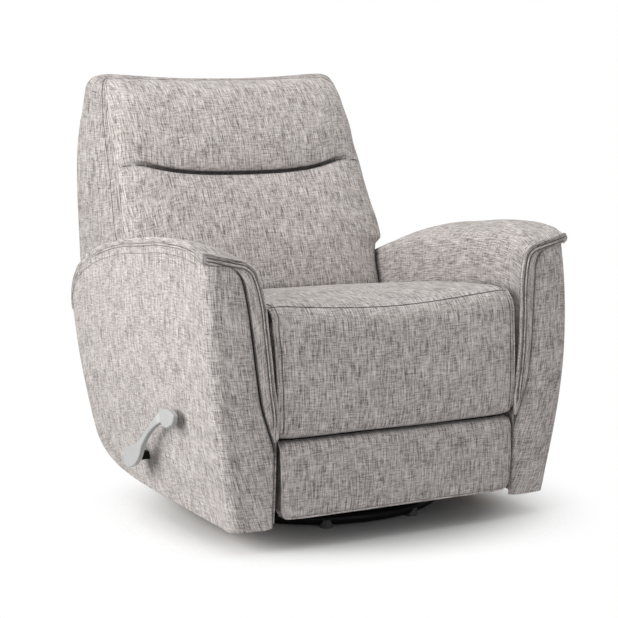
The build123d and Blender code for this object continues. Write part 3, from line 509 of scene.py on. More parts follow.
def arm_front_face(front_z):
    """The arm's front panel, from its inner seam to the soft outer corner."""
    columns = 18
    corner_x = FLARE(front_z) - CORNER_R
    seam = even(FRONT_SEAM, 2 * ARM_ROWS)
    seam_z = np.linspace(ARM_FOOT, PANEL_TOP, ARM_ROWS)
    seam_x = along(seam[:, ::-1])(seam_z)
    # the seam's upper part turns outwards and becomes the panel's top edge
    bottom = np.linspace((seam_x[0], ARM_FOOT), (corner_x[0], ARM_FOOT), columns)
    lip = seam[seam[:, 1] > PANEL_TOP - 2]
    lip = lip[lip[:, 0] < corner_x[-1] - 5]
    lip = even(np.vstack([[(seam_x[-1], PANEL_TOP)], lip]), columns)
    left_line = np.stack([seam_x, seam_z], axis=1)
    right_line = np.stack([corner_x, front_z], axis=1)
    lip[-1] = right_line[-1]
    left_line[-1] = lip[0]
    face = patch(bottom, lip, left_line, right_line)
    x, z = face[..., 0], face[..., 1]
    share = np.linspace(0, 1, columns)[None]
    crown = 3.5 * np.sin(share * math.pi)**2 - 10 * np.exp(-share * 12)
    return np.stack([x, FRONT_Y(z) - crown + ripple(face[..., [0, 1, 1]], 150, 9), z], axis=2)


def arm_outer():
    """Front panel, soft corner, outer side and rear of an arm, one cloth from its inner front seam."""
    front_z = np.linspace(ARM_FOOT, CREST[0, 1] - LIP_DROP, ARM_ROWS)
    side, front = arm_side_face(front_z), arm_front_face(front_z)
    turn, rear = [], []
    for a, b in zip(front[:, -1], side[:, 0]):
        turn.append(bend(a, (b[0], a[1], (a[2] + b[2]) / 2), b, 9))
    for a in side[:, -1]:
        b = np.array((a[0] - 20, a[1] + 6, a[2]))
        around = bend(a, (a[0], a[1] + 10, a[2]), b, 4)
        rear.append(np.vstack([around, np.linspace(b, (INNER(a[2]) + 12, a[1] + 4, a[2]), 9)]))
    grid = np.concatenate([front, np.array(turn), side, np.array(rear)], axis=1)
    # the hem folds under the arm, and the top edge is hidden behind the lip
    under = grid[0] + (0, 0, -1.5)
    tucked = under + (0, 0, 1.5)
    tucked[:, 0] += (360 - tucked[:, 0]) * 0.35
    tucked[:, 1] = np.clip(tucked[:, 1], -440, 262)
    hidden = grid[-1] - normals_of(grid)[-1] * 9 + (0, 0, 7)
    return np.concatenate([tucked[None], under[None], grid, hidden[None]], axis=0)


def arm_crown():
    """Inner side, rounded shoulder, sloping top and overhanging lip of an arm, one cloth."""
    count = len(CREST)
    wall_rows, turn_rows, top_rows = 30, 7, 16
    lip_row = wall_rows + turn_rows + top_rows - 1
    shoulder = CREST - (0, ARM_FALL * (LIP_X - SHOULDER_X))
    rear_line = even(np.vstack([ARM_REAR[6:], [(331, shoulder[-1, 1])]]), wall_rows)
    front_z = np.linspace(60, shoulder[0, 1] - 16, wall_rows)
    front_line = np.stack([FRONT_Y(front_z) + 2, front_z], axis=1)
    floor_line = np.linspace(front_line[0], rear_line[0], count)
    hem = shoulder - (0, 16)
    hem[-1] = rear_line[-1]
    wall = patch(floor_line, hem, front_line, rear_line)
    share = np.linspace(0, 1, top_rows)
    top_x = SHOULDER_X + 16
    x = top_x + (LIP_X - 4 - top_x) * share
    puff = 4.5 * np.sin(share * math.pi)**0.8
    columns = []
    for i in range(count):
        y, z = CREST[i]
        inner = np.stack([INNER(wall[:, i, 1]), wall[:, i, 0], wall[:, i, 1]], axis=1)
        top = np.stack([x, np.full(top_rows, y), z - ARM_FALL * (LIP_X - x) + puff], axis=1)
        round_in = bend(inner[-1], (INNER(shoulder[i, 1]) + 2, y, shoulder[i, 1] + 2), top[0], turn_rows)
        edge = np.array((LIP_X + 1.5, y, z - 5))
        round_out = bend(top[-1], (LIP_X + 2, y, z + 0.5), edge, 4)
        below = np.linspace((LIP_X + 1, y, z - 8), (LIP_X - 2, y, z - LIP_DROP + 1), 3)
        under = np.array([(LIP_X - 4, y, z - LIP_DROP - 1.5), (LIP_X - 9, y, z - LIP_DROP + 2)])
        columns.append(np.vstack([inner, round_in, top, round_out, [edge], below, under]))
    grid = np.array(columns).transpose(1, 0, 2)
    # the top rolls down at its front end, where the cloth turns into a nose
    roll = 4 * np.clip(1 - np.arange(count) / 5, 0, 1)**2
    grid[wall_rows:, :, 2] -= roll[None]
    uneven = 0.9 * ripple(grid, 170, 21)
    grid = grid + np.stack([uneven * 0.3, uneven * 0, uneven], axis=2)
    tip = grid[:, 0]
    middle = np.stack([np.minimum(tip[:, 0], 450), tip[:, 1] + 1, tip[:, 2] - 9], axis=1)
    middle[lip_row:, 2] = np.maximum(middle[lip_row:, 2], middle[lip_row, 2] - 2)
    turn = np.clip((np.arange(len(tip)) - wall_rows + 1) / 12, 0, 1)[:, None]
    middle = middle * turn + (tip + (4, 7, 0)) * (1 - turn)
    nose = (tip + middle) / 2 - (0, 2.0, 0) * turn
    return np.concatenate([middle[:, None], nose[:, None], grid], axis=1)


def arm_front_edges():
    """The arm's inner front edge and top front edge, from its lower end to the lip's tip."""
    rise = smooth_line([
        (303, 240), (303, 294), (311.5, 363), (317, 426), (321.5, 479), (324.5, 527), (330, 559), (336, 585),
        (345, 606), (360, 618), (390, 626), (430, 636), (457, 642.5)], 90)
    return np.stack([rise[:, 0], FRONT_Y(rise[:, 1]) + 1, rise[:, 1]], axis=1)


def on_band_edges():
    """The band's outer edge, and the front panel's seam beside it."""
    outer = arm_front_edges()
    seam = FRONT_SEAM[FRONT_SEAM[:, 1] > 236][:-3]
    seam = even(np.vstack([[(303.5, 238)], seam, [(448, 622), (456, 625)]]), len(outer))
    return outer, np.stack([seam[:, 0], outer[:, 1], seam[:, 1]], axis=1)


def on_band(share):
    """A line along the band, at a share of its width from the outer edge to the front panel's seam."""
    outer, inner = on_band_edges()
    width = np.linalg.norm(outer - inner, axis=1)
    share = np.clip(share, 0, 1)
    line = outer + (inner - outer) * np.reshape(share, (-1, 1))
    lift = np.minimum(7.0, width * 0.3) * np.sin(math.pi * np.minimum(1, 0.12 + share * 0.86))**0.6
    line[:, 1] = FRONT_Y(line[:, 2]) - lift + 1
    return line


def inset_on_band(inset):
    """The share of the band's width that lies this far in from its outer edge, all along it."""
    outer, seam = on_band_edges()
    return np.clip(inset / np.maximum(np.linalg.norm(outer - seam, axis=1), 1), 0, 0.9)


def arm_band():
    """The flat band between the inner front edge and the front panel's seam."""
    rows = [on_band(t) for t in np.linspace(0, 1, 12)]
    return np.array([rows[0] + (0, 7, 0)] + rows + [rows[-1] + (0, 12, -2)])[::-1]


def build_arms():
    """Both arms' covers, front bands, welts and stitching."""
    outer, crown, band = arm_outer(), arm_crown(), arm_band()
    edge = arm_front_edges()
    # the lip's welt starts on the band's tip, follows the lip and curls in behind the arm
    lip = np.stack([np.full(len(CREST), LIP_X - 1.5), CREST[:, 0], CREST[:, 1] - LIP_DROP - 1], axis=1)
    curl = smooth_line([
        lip[-1], lip[-1] + (-2, 1, -10), lip[-1] + (-14, 4, -20), lip[-1] + (-40, 6, -27)], 12)
    start = smooth_line([
        (456.5, -447.5, 642), (457.5, -449.5, 634), (456.8, -448.5, 627.5), lip[2], lip[4]], 16)
    lip = np.vstack([start, lip[5:], curl[1:]])
    near, middle, far = (on_band(inset_on_band(inset))[6:-1] for inset in BAND_STEPS)
    front_stitch = on_band(inset_on_band(STITCH_INSET))[8:-6]
    panel_seam = FRONT_SEAM[22:-2]
    panel_seam = np.stack([
        panel_seam[:, 0] + 1, FRONT_Y(panel_seam[:, 1]) + 1.5, panel_seam[:, 1]], axis=1)
    drop_z = CREST[3:-6, 1] - LIP_DROP - 20
    side_stitch = np.stack([FLARE(drop_z) + 1.6, CREST[3:-6, 0] + 3, drop_z], axis=1)
    for side, flip in (("left", True), ("right", False)):
        def sided(grids):
            return [mirrored(g) if flip else g for g in grids]
        body = cloth_object(f"arm_side_cloth_{side}", sided([outer]), COVER)
        top = cloth_object(f"arm_crown_cloth_{side}", sided([crown]), COVER_TURNED)
        trim = cloth_object(f"arm_front_band_{side}", sided([band]), COVER_TURNED)
        welt = cloth_object(f"arm_front_welt_{side}", sided([
            cord_grid(edge + (-0.5, -2.5, 0.8), 3.6), cord_grid(middle + (0, -0.4, 0), 2.0)]), WELT_HIGHLIGHTED)
        # painted shade: dark cords in the sunk seams beside the band
        sunk_shade = cloth_object(f"arm_front_seam_shade_{side}", sided([
            cord_grid(panel_seam, 1.6, 6), cord_grid(near, 1.2, 6), cord_grid(far, 1.0, 6)]), SEAM_SHADE)
        lip_welt = cloth_object(f"arm_lip_welt_{side}", sided([cord_grid(lip, 2.5)]), WELT_HIGHLIGHTED)
        stitches_and_shade_lines = cloth_object(f"arm_stitching_{side}", sided(
            stitch_grids(side_stitch) + stitch_grids(front_stitch, radius=0.5)), THREAD)
        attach(body, "chair_frame")
        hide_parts(f"arm_outer_cover_{side}")
        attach(top, "chair_frame")
        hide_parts(f"arm_top_cover_{side}")
        for piece in (trim, welt, lip_welt, sunk_shade, stitches_and_shade_lines):
            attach(piece, "chair_frame")


# ---------------- seat and leg rest
SEAT_LINES = np.array([     # y and z of the seat's middle line, then of its edge line
    (205, 462, 205, 452), (150, 478, 150, 468), (60, 492, 60, 481), (-40, 506, -40, 496),
    (-114, 515, -114, 507), (-190, 524, -190, 516), (-285, 530, -285, 526), (-350, 527.5, -347, 530),
    (-405, 520, -405, 533), (-445, 508, -443, 530), (-463, 486, -462, 508), (-473, 446, -471, 462),
    (-479.5, 392, -478, 392), (-481.5, 330, -480.5, 330), (-480.5, 285, -479, 285), (-476, 258, -475, 258),
    (-468, 243, -467, 243), (-455, 238.5, -455, 238.5)])
SEAT_LIP = 10           # places of those lines that lie on top, up to the front seam
SEAT_HALF = 298
TOP_ROWS = 56           # rows of the seat cover up to its front seam
SEAM_ROW = TOP_ROWS - 1
SEAT_WALL = 8           # columns of each side wall
SHADED_WALL_END = SEAM_ROW + 6       # the side walls are painted shade cloth up to here, for the gaps beside the arms
WELT_START = 48         # first row of the chaise's side welts
FOOTREST_COLUMNS = 57


def seat_profile(x):
    """The seat's line from under the back, over the crown and front edge, down to the crease."""
    middle, edge = SEAT_LINES[:, :2], SEAT_LINES[:, 2:]
    line = middle + (edge - middle) * min(1.0, abs(x) / SEAT_HALF)**1.8
    return smooth_line(line[:SEAT_LIP], TOP_ROWS), smooth_line(line[SEAT_LIP - 1:], 52)


def seat_cover_grid():
    """The seat top and chaise front in one cloth, with its rolled side edges and side walls."""
    across = spread(61, 0.92)
    lines = []
    for a in across:
        top, front = seat_profile(a * SEAT_HALF)
        lines.append(np.vstack([top, front[1:]]))
    lines = np.array(lines).transpose(1, 0, 2)
    rows = lines.shape[0]
    way = directions(lines[:, len(across) // 2])
    out = np.stack([way[:, 1], -way[:, 0]], axis=1)
    # by row: half width, how far the sides roll over, how deep the side walls are
    half = np.interp(
        np.arange(rows), [0, 8, 26, 44, WELT_START, 51, 53, SEAM_ROW, 57, 59, 62, 65, 72, rows - 1],
        [308, 310, 314, 318, 316, 311, 307, 303, 300.5, 300, 301, 302, 299.5, 296])
    edge_roll = np.interp(np.arange(rows), [0, 40, 54, 62, rows - 1], [12, 12, 12, 8, 8])
    depth = np.interp(np.arange(rows), [0, 44, 52, 62, rows - 1], [62, 62, 36, 36, 26])
    grid = []
    for i in range(rows):
        roll = edge_roll[i] * rolled(across, 9)
        x = across * half[i]
        fall = np.stack([
            x, lines[i, :, 0] - out[i, 0] * roll, lines[i, :, 1] - out[i, 1] * roll], axis=1)
        left, right = [], []
        for t in np.linspace(1, 0.06, SEAT_WALL):
            step = np.array((0, -out[i, 0], -out[i, 1])) * depth[i] * t
            lean = (2.5 * math.sin(math.pi * t) + 6 * t, 0, 0)
            left.append(fall[0] + step + lean)
            right.append(fall[-1] + step - lean)
        grid.append(np.vstack([left, fall, right[::-1]]))
    grid = np.array(grid)
    out3 = np.stack([0 * out[:, 0], out[:, 0], out[:, 1]], axis=1)[:, None]
    groove = np.exp(-((np.arange(rows) - SEAM_ROW) / 0.7)**2)[:, None, None]
    tops = 2.0 * ripple(grid, 210, 33)[..., None]
    puff = 1 - np.abs(np.clip(grid[..., :1] / 320, -1, 1))**3
    return grid + out3 * (tops * puff * 0.8 - groove * 3.2), out3


def footrest_grid():
    """The lower front panel, boxed, with rounded lower corners."""
    line = smooth_line([
        (-452, 235.5), (-464, 234), (-472, 229), (-477, 218), (-480, 190), (-481, 150), (-480, 110),
        (-477.5, 84), (-474, 70)], 40)
    across = spread(FOOTREST_COLUMNS, 0.94)
    grid = []
    for y, z in line:
        lower = np.clip((92 - z) / 26, 0, 1)
        corner = 22 * (1 - math.sqrt(max(0, 1 - lower**2)))
        half = 292 - 4 * np.clip((200 - z) / 140, 0, 1) - corner
        roll = 9 * rolled(across, 10)
        face = np.stack([across * half, y + roll, np.full(FOOTREST_COLUMNS, z)], axis=1)
        inwards = np.linspace(0.08, 1, 6)
        left = [face[0] + (1.5 * math.sin(math.pi * t), 34 * t, 0) for t in inwards[::-1]]
        right = [face[-1] + (-1.5 * math.sin(math.pi * t), 34 * t, 0) for t in inwards]
        grid.append(np.vstack([left, face, right]))
    # the lower edge turns under
    last = np.array(grid[-1])
    for back, low in ((4, -3), (16, -4), (42, -3)):
        step = last.copy()
        step[:, 1] = np.minimum(np.maximum(step[:, 1] + back, -474 + back), -428)
        step[:, 2] += low
        grid.append(step)
    grid = np.array(grid)
    grid[..., 1] += ripple(grid, 140, 12)
    return grid[::-1]


def build_seat():
    """The seat and chaise in one cover, shaped with a bend at the hinge, and the footrest."""
    grid, out = seat_cover_grid()
    wall = SEAT_WALL - 1
    lower, upper = slice(None, SHADED_WALL_END - 1, -1), slice(SHADED_WALL_END, None, -1)
    cover = cloth_object("seat_and_chaise_cover", [
        grid[::-1, wall - 1:1 - wall], grid[lower, :wall], grid[lower, -wall:]], COVER)
    # painted shade: the side walls near the top are dark, for the gaps beside the arms
    gap_shade = cloth_object("seat_side_walls_painted_shade", [grid[upper, :wall], grid[upper, -wall:]], SEAM_SHADE)
    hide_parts("seat_cushion", "chaise_pad")
    face = grid[:, SEAT_WALL:-SEAT_WALL]
    down = slice(WELT_START, -4)
    lift = out[down, 0]
    # painted shade: a dark cord in the front seam's groove
    sunk_shade = cloth_object("seat_front_seam_shade", [cord_grid(face[SEAM_ROW] + out[SEAM_ROW] * 0.6, 1.0, 6)], SEAM_SHADE)
    welts = cloth_object("chaise_side_welts", [
        cord_grid(face[down, 0] + (-1, 0, 0) + 0.6 * lift, 3.1),
        cord_grid(face[down, -1] + (1, 0, 0) + 0.6 * lift, 3.1)], WELT_HIGHLIGHTED)
    # a line of stitching beside each welt, drawn as a cord of painted shade cloth for its sunk dark line
    inner = []
    for side in (-1, 1):
        line = []
        for row in face[down]:
            outwards = row[::side]
            x = side * (abs(outwards[-1, 0]) - 10)
            line.append([x] + [np.interp(abs(x), side * outwards[:, 0], outwards[:, k]) for k in (1, 2)])
        inner.append(np.array(line) + lift * 0.5)
    stitches_and_shade_lines = cloth_object("chaise_stitching_and_shade_lines", [cord_grid(w, 0.8, 6) for w in inner], SEAM_SHADE)
    for piece in (cover, gap_shade, sunk_shade, welts, stitches_and_shade_lines):
        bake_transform(piece)

    panel = footrest_grid()
    foot = cloth_object("footrest_cover", [panel], COVER_LOW_SHADED)
    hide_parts("footrest_pad")
    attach(foot, "leg_rest")
    face = panel[3:, 6:-6]
    border = np.vstack([face[::-1, 0], face[0, 1:-1], face[:, -1]])
    rounded = smooth_line(border[::3], 150) + (0, -0.6, 0)
    trim = cloth_object("footrest_welt", [cord_grid(rounded, 2.3)], WELT_HIGHLIGHTED)
    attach(trim, "leg_rest")


# ---------------- back
# s runs up the leaning back from its foot and n stands off it. BACK_HALF gives x by s, CREASE gives s
# by x, REAR_HALF and REAR_Y give x and y by height. SIDE_SEAM and REAR_CORNER are (x, y, z).
LEAN = math.radians(25.4)
UP_BACK = np.array((math.sin(LEAN), math.cos(LEAN)))
OFF_BACK = np.array((-math.cos(LEAN), math.sin(LEAN)))
BACK_FOOT = np.array((161.0, 470.0))
BACK_HEM = 446          # height of the outer back's lower end
BACK_HALF = along([
    (-30, 312), (0, 318), (60, 323), (100, 331), (130, 341), (150, 348), (173, 354.5), (221, 350), (270, 346),
    (348, 341), (393, 339), (447, 338), (500, 334), (555, 325), (575, 315), (592, 300)])
SIDE_SEAM = smooth_line([
    (352, 214, 586), (354.5, 237, 626), (350, 261, 670), (346, 282, 714), (341, 312, 784), (339, 335, 825),
    (338, 355, 874), (334, 382, 922), (326, 408, 971), (318, 432, 990), (305, 452, 1001)], 60)
REAR_HALF = along([
    (BACK_HEM, 387), (517, 388), (635, 388.5), (748, 388), (813, 385), (878, 377), (929, 367), (980, 358)])
REAR_Y = along([(BACK_HEM, 455), (517, 461), (635, 470), (748, 477), (813, 480), (878, 481.5), (980, 480)])
REAR_CORNER = [(360, 480, 976), (356, 478, 990), (349, 475, 1001), (338, 472, 1010), (318, 469, 1015.5),
               (296, 468, 1016), (250, 467, 1013), (205, 466, 1010), (168, 466, 1007), (80, 465, 1003),
               (0, 465, 1002)]
CREASE = along([
    (0, 318), (60, 318.5), (120, 321), (180, 328), (235, 340), (268, 347), (300, 344), (340, 341)])
FRONT_HALF = 330
BACK_WALL = 4           # columns of each side wall behind the back's front
SHELL_WALL = 20         # points from a side seam to the rear corner
LOW_ROWS, HIGH_ROWS = 16, 32    # rows of the outer back beside the arms, and above them
PANEL_ROWS = LOW_ROWS + HIGH_ROWS
PANEL_COLUMNS = 41
CREASE_ROW = 60         # a row of the back's front that lies near the crease
ARM_LEVEL = 600         # the outer back's sides keep clear of the arms up to here


def back_profile(x):
    """The back's front line from the seat, over lumbar bulge, crease and headrest, to the top seam."""
    side = min(1.0, abs(x) / FRONT_HALF)
    crease = float(CREASE(abs(x)))
    soft = float(np.clip((292 - abs(x)) / 90, 0, 1))**0.8
    lumbar = 33 - 3 * side**2
    head = 39 - 7 * side**2
    top_z = 995 + 8 * side**2.2
    shut = 25 - 4 * side
    deep = shut * (1 - soft) - 6 * soft
    points = [(-34, 8), (0, 24), (60, lumbar - 1), (150, lumbar + 4), (230, lumbar + 1),
              (crease - 52, lumbar - 2), (crease - 20, lumbar - 6 - 2 * soft),
              (crease - 9, lumbar - 9 - 3 * soft),
              (crease - 3, deep + 9 * soft), (crease + 1, deep), (crease + 5, deep + 9 * soft),
              (crease + 9 - 6 * soft, shut + 3), (crease + 20 - 10 * soft, head - 8),
              (crease + 44, head), (crease + 110, head + 2), (crease + 170, head - 3)]
    line = [BACK_FOOT + UP_BACK * s + OFF_BACK * n for s, n in points]
    line += [np.array((397, top_z - 12)), np.array((424, top_z - 2.5)), np.array((450, top_z))]
    return smooth_line(line, 118)


def back_front_grid():
    """The back's front in one cloth, drawn in to the side seams, with short side walls behind it."""
    across = spread(65, 0.93)
    lines = np.array([back_profile(a * FRONT_HALF) for a in across]).transpose(1, 0, 2)
    rows = len(lines)
    edge = lines[:, -1]
    edge_s = (edge - BACK_FOOT) @ UP_BACK
    edge_n = (edge - BACK_FOOT) @ OFF_BACK
    first = int(np.argmax(edge_s > 112))
    # the border lies behind the arms at first, and then on the side seam
    low = edge[:first] - OFF_BACK * (edge_n[:first, None] + 2)
    run = lengths(edge[first:])
    border = np.zeros((rows, 3))
    border[:first] = np.stack([BACK_HALF(edge_s[:first]), low[:, 0], low[:, 1]], axis=1)
    for i in range(3):
        border[first:, i] = np.interp(run / run[-1], np.linspace(0, 1, len(SIDE_SEAM)), SIDE_SEAM[:, i])
    grid = np.zeros((rows, len(across), 3))
    grid[..., 0] = across * border[:, :1]
    grid[..., 1:] = lines + rolled(across, 7)[:, None] * (border[:, 1:] - edge)[:, None]
    centre = np.abs(across)[None, :, None]
    waves = ripple(grid, 230, 5)[..., None] * 2.2 * (1 - centre**4)
    waves[-6:] *= np.linspace(1, 0, 6)[:, None, None]
    grid = grid + np.array((0, OFF_BACK[0], OFF_BACK[1])) * waves
    walls = []
    for t in (1.0, 0.66, 0.33, 0.1):
        back_off = np.array((0, -OFF_BACK[0], -OFF_BACK[1])) * 40 * t
        walls.append(grid[:, -1] + back_off - (5 * t, 0, 0))
    right = np.array(walls[::-1]).transpose(1, 0, 2)
    return np.concatenate([mirrored(right), grid, right], axis=1)


def outer_back_lines(half_top):
    """The outer back's front line and rear line on one side, from its lower end to mid top."""
    # beside the arms the front line stays behind their rear edge
    rear_arm = even(np.vstack([[(326, 430)], CREST[::-1][:60]]), 200)
    fronts, rears = [], []
    for z in np.concatenate([
            np.linspace(BACK_HEM, ARM_LEVEL - 12, LOW_ROWS), np.linspace(ARM_LEVEL, 966, HIGH_ROWS)]):
        rear = np.array((REAR_HALF(z + 4 * (z > 900)), REAR_Y(z), z + 8 * max(0.0, (z - 880) / 86)))
        start = np.array([np.interp(z, SIDE_SEAM[:, 2], SIDE_SEAM[:, i]) for i in (0, 1)] + [z])
        if z < ARM_LEVEL:
            clear_y = max(start[1], 11 + np.interp(z - 8, rear_arm[:, 1], rear_arm[:, 0]))
            start = start + (rear - start) * (clear_y - start[1]) / (rear[1] - start[1])
        fronts.append(start)
        rears.append(rear)
    high = SIDE_SEAM[SIDE_SEAM[:, 2] > 970]
    turn = smooth_line(REAR_CORNER, 60)
    corner = int(np.argmin(np.abs(turn[:, 0] - 318)))
    return (np.vstack([fronts, even(high, 10), even(half_top, 24)[1:]]),
            np.vstack([rears, even(turn[:corner + 1], 10), even(turn[corner:], 24)[1:]]))


def outer_back_shell(fronts, rears):
    """The outer back's sides and top in one strip, from its tucked front edge round the rear corner."""
    edge_way = np.gradient(rears, axis=0)[:, [0, 2]]
    edge_way /= np.linalg.norm(edge_way, axis=1, keepdims=True)
    inward = np.stack([-edge_way[:, 1], 0 * edge_way[:, 0], edge_way[:, 0]], axis=1)
    t = np.linspace(0, 1, SHELL_WALL)[:, None]
    rows = []
    for start, rear, inner in zip(fronts, rears, inward):
        span = rear - start
        reach = np.linalg.norm(span)
        a = rear - span / reach * min(14, reach * 0.4)
        b = rear + inner * 22 + (0, 0.8, 0)
        bulge = np.sin(t * math.pi) * min(7.0, reach * 0.06)
        wall = start + (a - start) * t - inner * bulge
        tucked = start + inner * 3.5 + (0, 2, 0)
        rows.append(np.vstack([
            tucked + inner * 22 + (0, 12, 0), tucked, wall[1:], bend(a, rear - inner, b, 6), b]))
    half = np.array(rows)
    shell = np.vstack([half, (half * (-1, 1, 1))[::-1][1:]])
    return shell + 1.2 * ripple(shell, 200, 44)[..., None] * (0.3, 0.5, 0)


def rear_panel(rim):
    """The outer back's rear face, inside the strip's rear edge."""
    panel = patch(np.linspace(rim[0], rim[-1], PANEL_COLUMNS),
                  even(rim[PANEL_ROWS - 1:1 - PANEL_ROWS], PANEL_COLUMNS),
                  rim[:PANEL_ROWS], rim[::-1][:PANEL_ROWS])
    panel[..., 1] += 1.5 * np.sin(np.linspace(0, math.pi, PANEL_COLUMNS))[None]
    return panel


def crease_line(grid):
    """The bottom of the crease under the headrest, from side to side."""
    points = []
    for j in range(BACK_WALL + 2, grid.shape[1] - BACK_WALL - 2):
        x = grid[CREASE_ROW, j, 0]
        spot = BACK_FOOT + UP_BACK * (float(CREASE(abs(x))) + 2) - OFF_BACK * 12
        near = np.linalg.norm(grid[:, j, 1:] - spot, axis=1)
        points.append(grid[int(np.argmin(near)), j])
    return smooth_line(np.array(points)[::4], 90)


def build_back():
    """The back's front, its outer shell, and the welts and seams between them."""
    grid = back_front_grid()
    front = cloth_object("back_front_cover", [grid], COVER)
    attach(front, "back")
    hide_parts("lumbar_cushion", "headrest_cushion")

    face = grid[:, BACK_WALL:-BACK_WALL]
    first = int(np.argmax(face[:, -1, 2] > 584))
    top_seam = face[-1][::-1]
    fronts, rears = outer_back_lines(top_seam[:len(top_seam) // 2 + 1])
    shell = outer_back_shell(fronts, rears)
    outer = cloth_object("back_outer_cover", [shell, rear_panel(shell[:, -1])], COVER_BACK_SHADED)
    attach(outer, "back")
    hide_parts("outer_back")

    piping = even(np.vstack([face[first::2, -1], top_seam[2:-2:2], face[first:, 0][::-2]]), 260)
    rear_edge = shell[2:-2, SHELL_WALL + 4] + (0, 1.2, 0)
    beside = even(shell[16:-16, 4], 300)
    crease = crease_line(grid) + (0, -0.5, 0)
    welt = cloth_object("back_front_welt", [cord_grid(piping, 3.0)], WELT_HIGHLIGHTED)
    rear_welts = cloth_object("back_rear_welts", [cord_grid(rear_edge, 2.2)], WELT_HIGHLIGHTED)
    # the topstitch line beside the side seam, drawn as a dark cord of painted shade
    topstitch_shade = cloth_object("back_side_stitching_and_shade_line", [cord_grid(beside, 0.9, 6)], SEAM_SHADE)
    # painted shade: a dark cord in the crease under the headrest
    stitches_and_shade_lines = cloth_object("headrest_crease_shade", [cord_grid(crease, 1.1, 6)], SEAM_SHADE)
    for piece in (welt, rear_welts, topstitch_shade, stitches_and_shade_lines):
        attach(piece, "back")


def build_apron():
    """The padded panel under the back."""
    low, high = (np.array(p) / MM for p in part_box("rear_apron"))
    columns, rows = 33, 21
    width = np.linspace(low[0], high[0], columns)
    height = np.linspace(low[2], high[2], rows)
    share_x = np.sin(np.linspace(0, math.pi, columns))**0.35
    share_z = np.sin(np.linspace(0, math.pi, rows))**0.35
    # the panel is fullest in the middle, and its rim turns in to the frame
    grid = np.array([[(x, high[1] - 5 + 6 * share_x[j] * share_z[i], z) for j, x in enumerate(width)]
                     for i, z in enumerate(height)])
    rim = np.concatenate([grid[:, :1], grid, grid[:, -1:]], axis=1)
    rim[:, [0, -1], 1] = low[1]
    folded = np.concatenate([rim[:1], rim, rim[-1:]])
    folded[[0, -1], :, 1] = low[1]
    panel = cloth_object("rear_apron_cover", [folded[:, ::-1]], COVER)
    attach(panel, "chair_frame")
    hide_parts("rear_apron")
    hem = [(low[0] + 10, high[1] + 1.2, low[2] + 14), (high[0] - 10, high[1] + 1.2, low[2] + 14)]
    stitches_and_shade_lines = cloth_object("apron_hem_stitching", stitch_grids(even(hem, 80)), THREAD)
    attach(stitches_and_shade_lines, "chair_frame")


def finish_frame_parts():
    """Each CAD part that shows keeps its shape and gets its finish."""
    finishes = {
        SHADE_BLACK_WOOD: ["side_rail", "chaise_board", "footrest_board"],
        PLYWOOD: ["arm_frame", "seat_rail", "seat_front_rail", "seat_rear_rail", "back_frame"],
        ZINC: ["king_bolt", "bearing_balls", "pins", "upper_bearing_plate", "lower_bearing_plate"],
        SPRING_STEEL: ["seat_springs"],
        GLIDE_PLASTIC: ["floor_glides"],
        LEVER_PLASTIC: ["lever_handle"],
        WEBBING: ["back_webbing"],
    }
    for name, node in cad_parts.items():
        fitting = [finish for finish, words in finishes.items() if any(word in name for word in words)]
        node.data.materials.clear()
        node.data.materials.append((fitting + [BLACK_STEEL])[0])


# ---------------- stage
LAMPS = (               # name, place, aim, size, power
    ("key", (-2.6, -0.25, 1.1), (0, 0, 0.35), 1.9, 74.0),
    ("front", (0.4, -3.8, 0.95), (0, 0, 0.35), 2.2, 33.0),
    ("top", (0.1, 0.1, 3.4), (0, 0, 0.5), 2.4, 64.0))


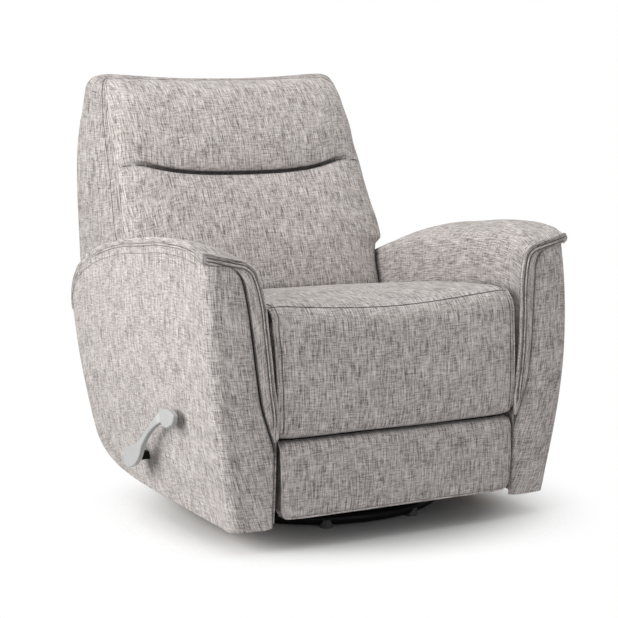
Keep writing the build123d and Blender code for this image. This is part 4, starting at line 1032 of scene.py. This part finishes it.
def build_floor():
    """A pale floor that keeps the chair's shadow, with painted shadow darkening it under the chair, and fades
    out around it.
    """
    mesh = bpy.data.meshes.new("floor")
    corners, reach = 96, 7
    turn = [2 * math.pi * i / corners for i in range(corners)]
    rim = [(reach * math.cos(t), reach * math.sin(t), 0) for t in turn]
    mesh.from_pydata(rim, [], [list(range(corners))])
    floor = bpy.data.objects.new("floor", mesh)
    bpy.context.collection.objects.link(floor)
    material, tree, shader = start_material("pale floor")
    where = wire(tree, "ShaderNodeNewGeometry").outputs["Position"]
    away = wire(tree, "ShaderNodeVectorMath", {0: where, 1: (0.0, -0.2, 0)}, operation="DISTANCE")
    fade = wire(tree, "ShaderNodeMapRange", {0: away.outputs["Value"], 1: 0.3, 2: 0.64},
                interpolation_type="SMOOTHSTEP")
    # painted shadow: the floor's colour darkens towards the spot under the chair
    tone = wire(tree, "ShaderNodeMapRange", {0: away.outputs["Value"], 1: 0.12, 2: 0.5, 3: 0.34, 4: 0.86})
    tree.links.new(tone.outputs[0], shader.inputs["Base Color"])
    shader.inputs["Roughness"].default_value = 0.95
    shader.inputs["Specular IOR Level"].default_value = 0.0
    clear = wire(tree, "ShaderNodeBsdfTransparent")
    both = wire(tree, "ShaderNodeMixShader", {0: fade.outputs[0], 1: shader.outputs[0], 2: clear.outputs[0]})
    tree.links.new(both.outputs[0], tree.nodes["Material Output"].inputs[0])
    mesh.materials.append(material)


def build_world():
    """Soft light from all round, seen as plain white."""
    world = bpy.data.worlds.new("studio")
    bpy.context.scene.world = world
    world.use_nodes = True
    tree = world.node_tree
    soft = tree.nodes["Background"]
    soft.inputs[0].default_value = (1.0, 0.995, 0.99, 1)
    soft.inputs[1].default_value = 0.46
    white = wire(tree, "ShaderNodeBackground", {0: (1, 1, 1, 1), 1: 1.0})
    path = wire(tree, "ShaderNodeLightPath")
    seen = maths(tree, "MAXIMUM", path.outputs["Is Camera Ray"], maths(
        tree, "MAXIMUM", path.outputs["Is Glossy Ray"], path.outputs["Is Transmission Ray"]))
    both = wire(tree, "ShaderNodeMixShader", {0: seen, 1: soft.outputs[0], 2: white.outputs[0]})
    tree.links.new(both.outputs[0], tree.nodes["World Output"].inputs[0])


def aim_at(way, roll=0.0):
    """Rotation that points a lamp or camera along a direction."""
    turn = Vector(way).to_track_quat("-Z", "Y").to_matrix() @ Matrix.Rotation(roll, 3, "Z")
    return turn.to_euler()


def build_lamps():
    """Three large soft lamps."""
    for name, place, aim, size, power in LAMPS:
        lamp = bpy.data.lights.new(name, "AREA")
        lamp.shape = "DISK"
        lamp.size = size
        lamp.energy = power
        holder = bpy.data.objects.new(name, lamp)
        holder.location = place
        holder.rotation_euler = aim_at(np.array(aim) - np.array(place))
        bpy.context.collection.objects.link(holder)


def build_camera():
    """A long lens from the front left, a little above the arms."""
    lens = bpy.data.cameras.new("camera")
    lens.lens = 98.4
    lens.sensor_width = 36.0
    camera = bpy.data.objects.new("camera", lens)
    camera.location = (-1.879, -3.579, 0.993)
    camera.rotation_euler = aim_at((0.4659, 0.8747, -0.1340), math.radians(-0.26))
    bpy.context.collection.objects.link(camera)
    bpy.context.scene.camera = camera
    bpy.context.scene.view_settings.view_transform = "Standard"


finish_frame_parts()
build_arms()
build_seat()
build_back()
build_apron()
build_floor()
build_world()
build_lamps()
build_camera()
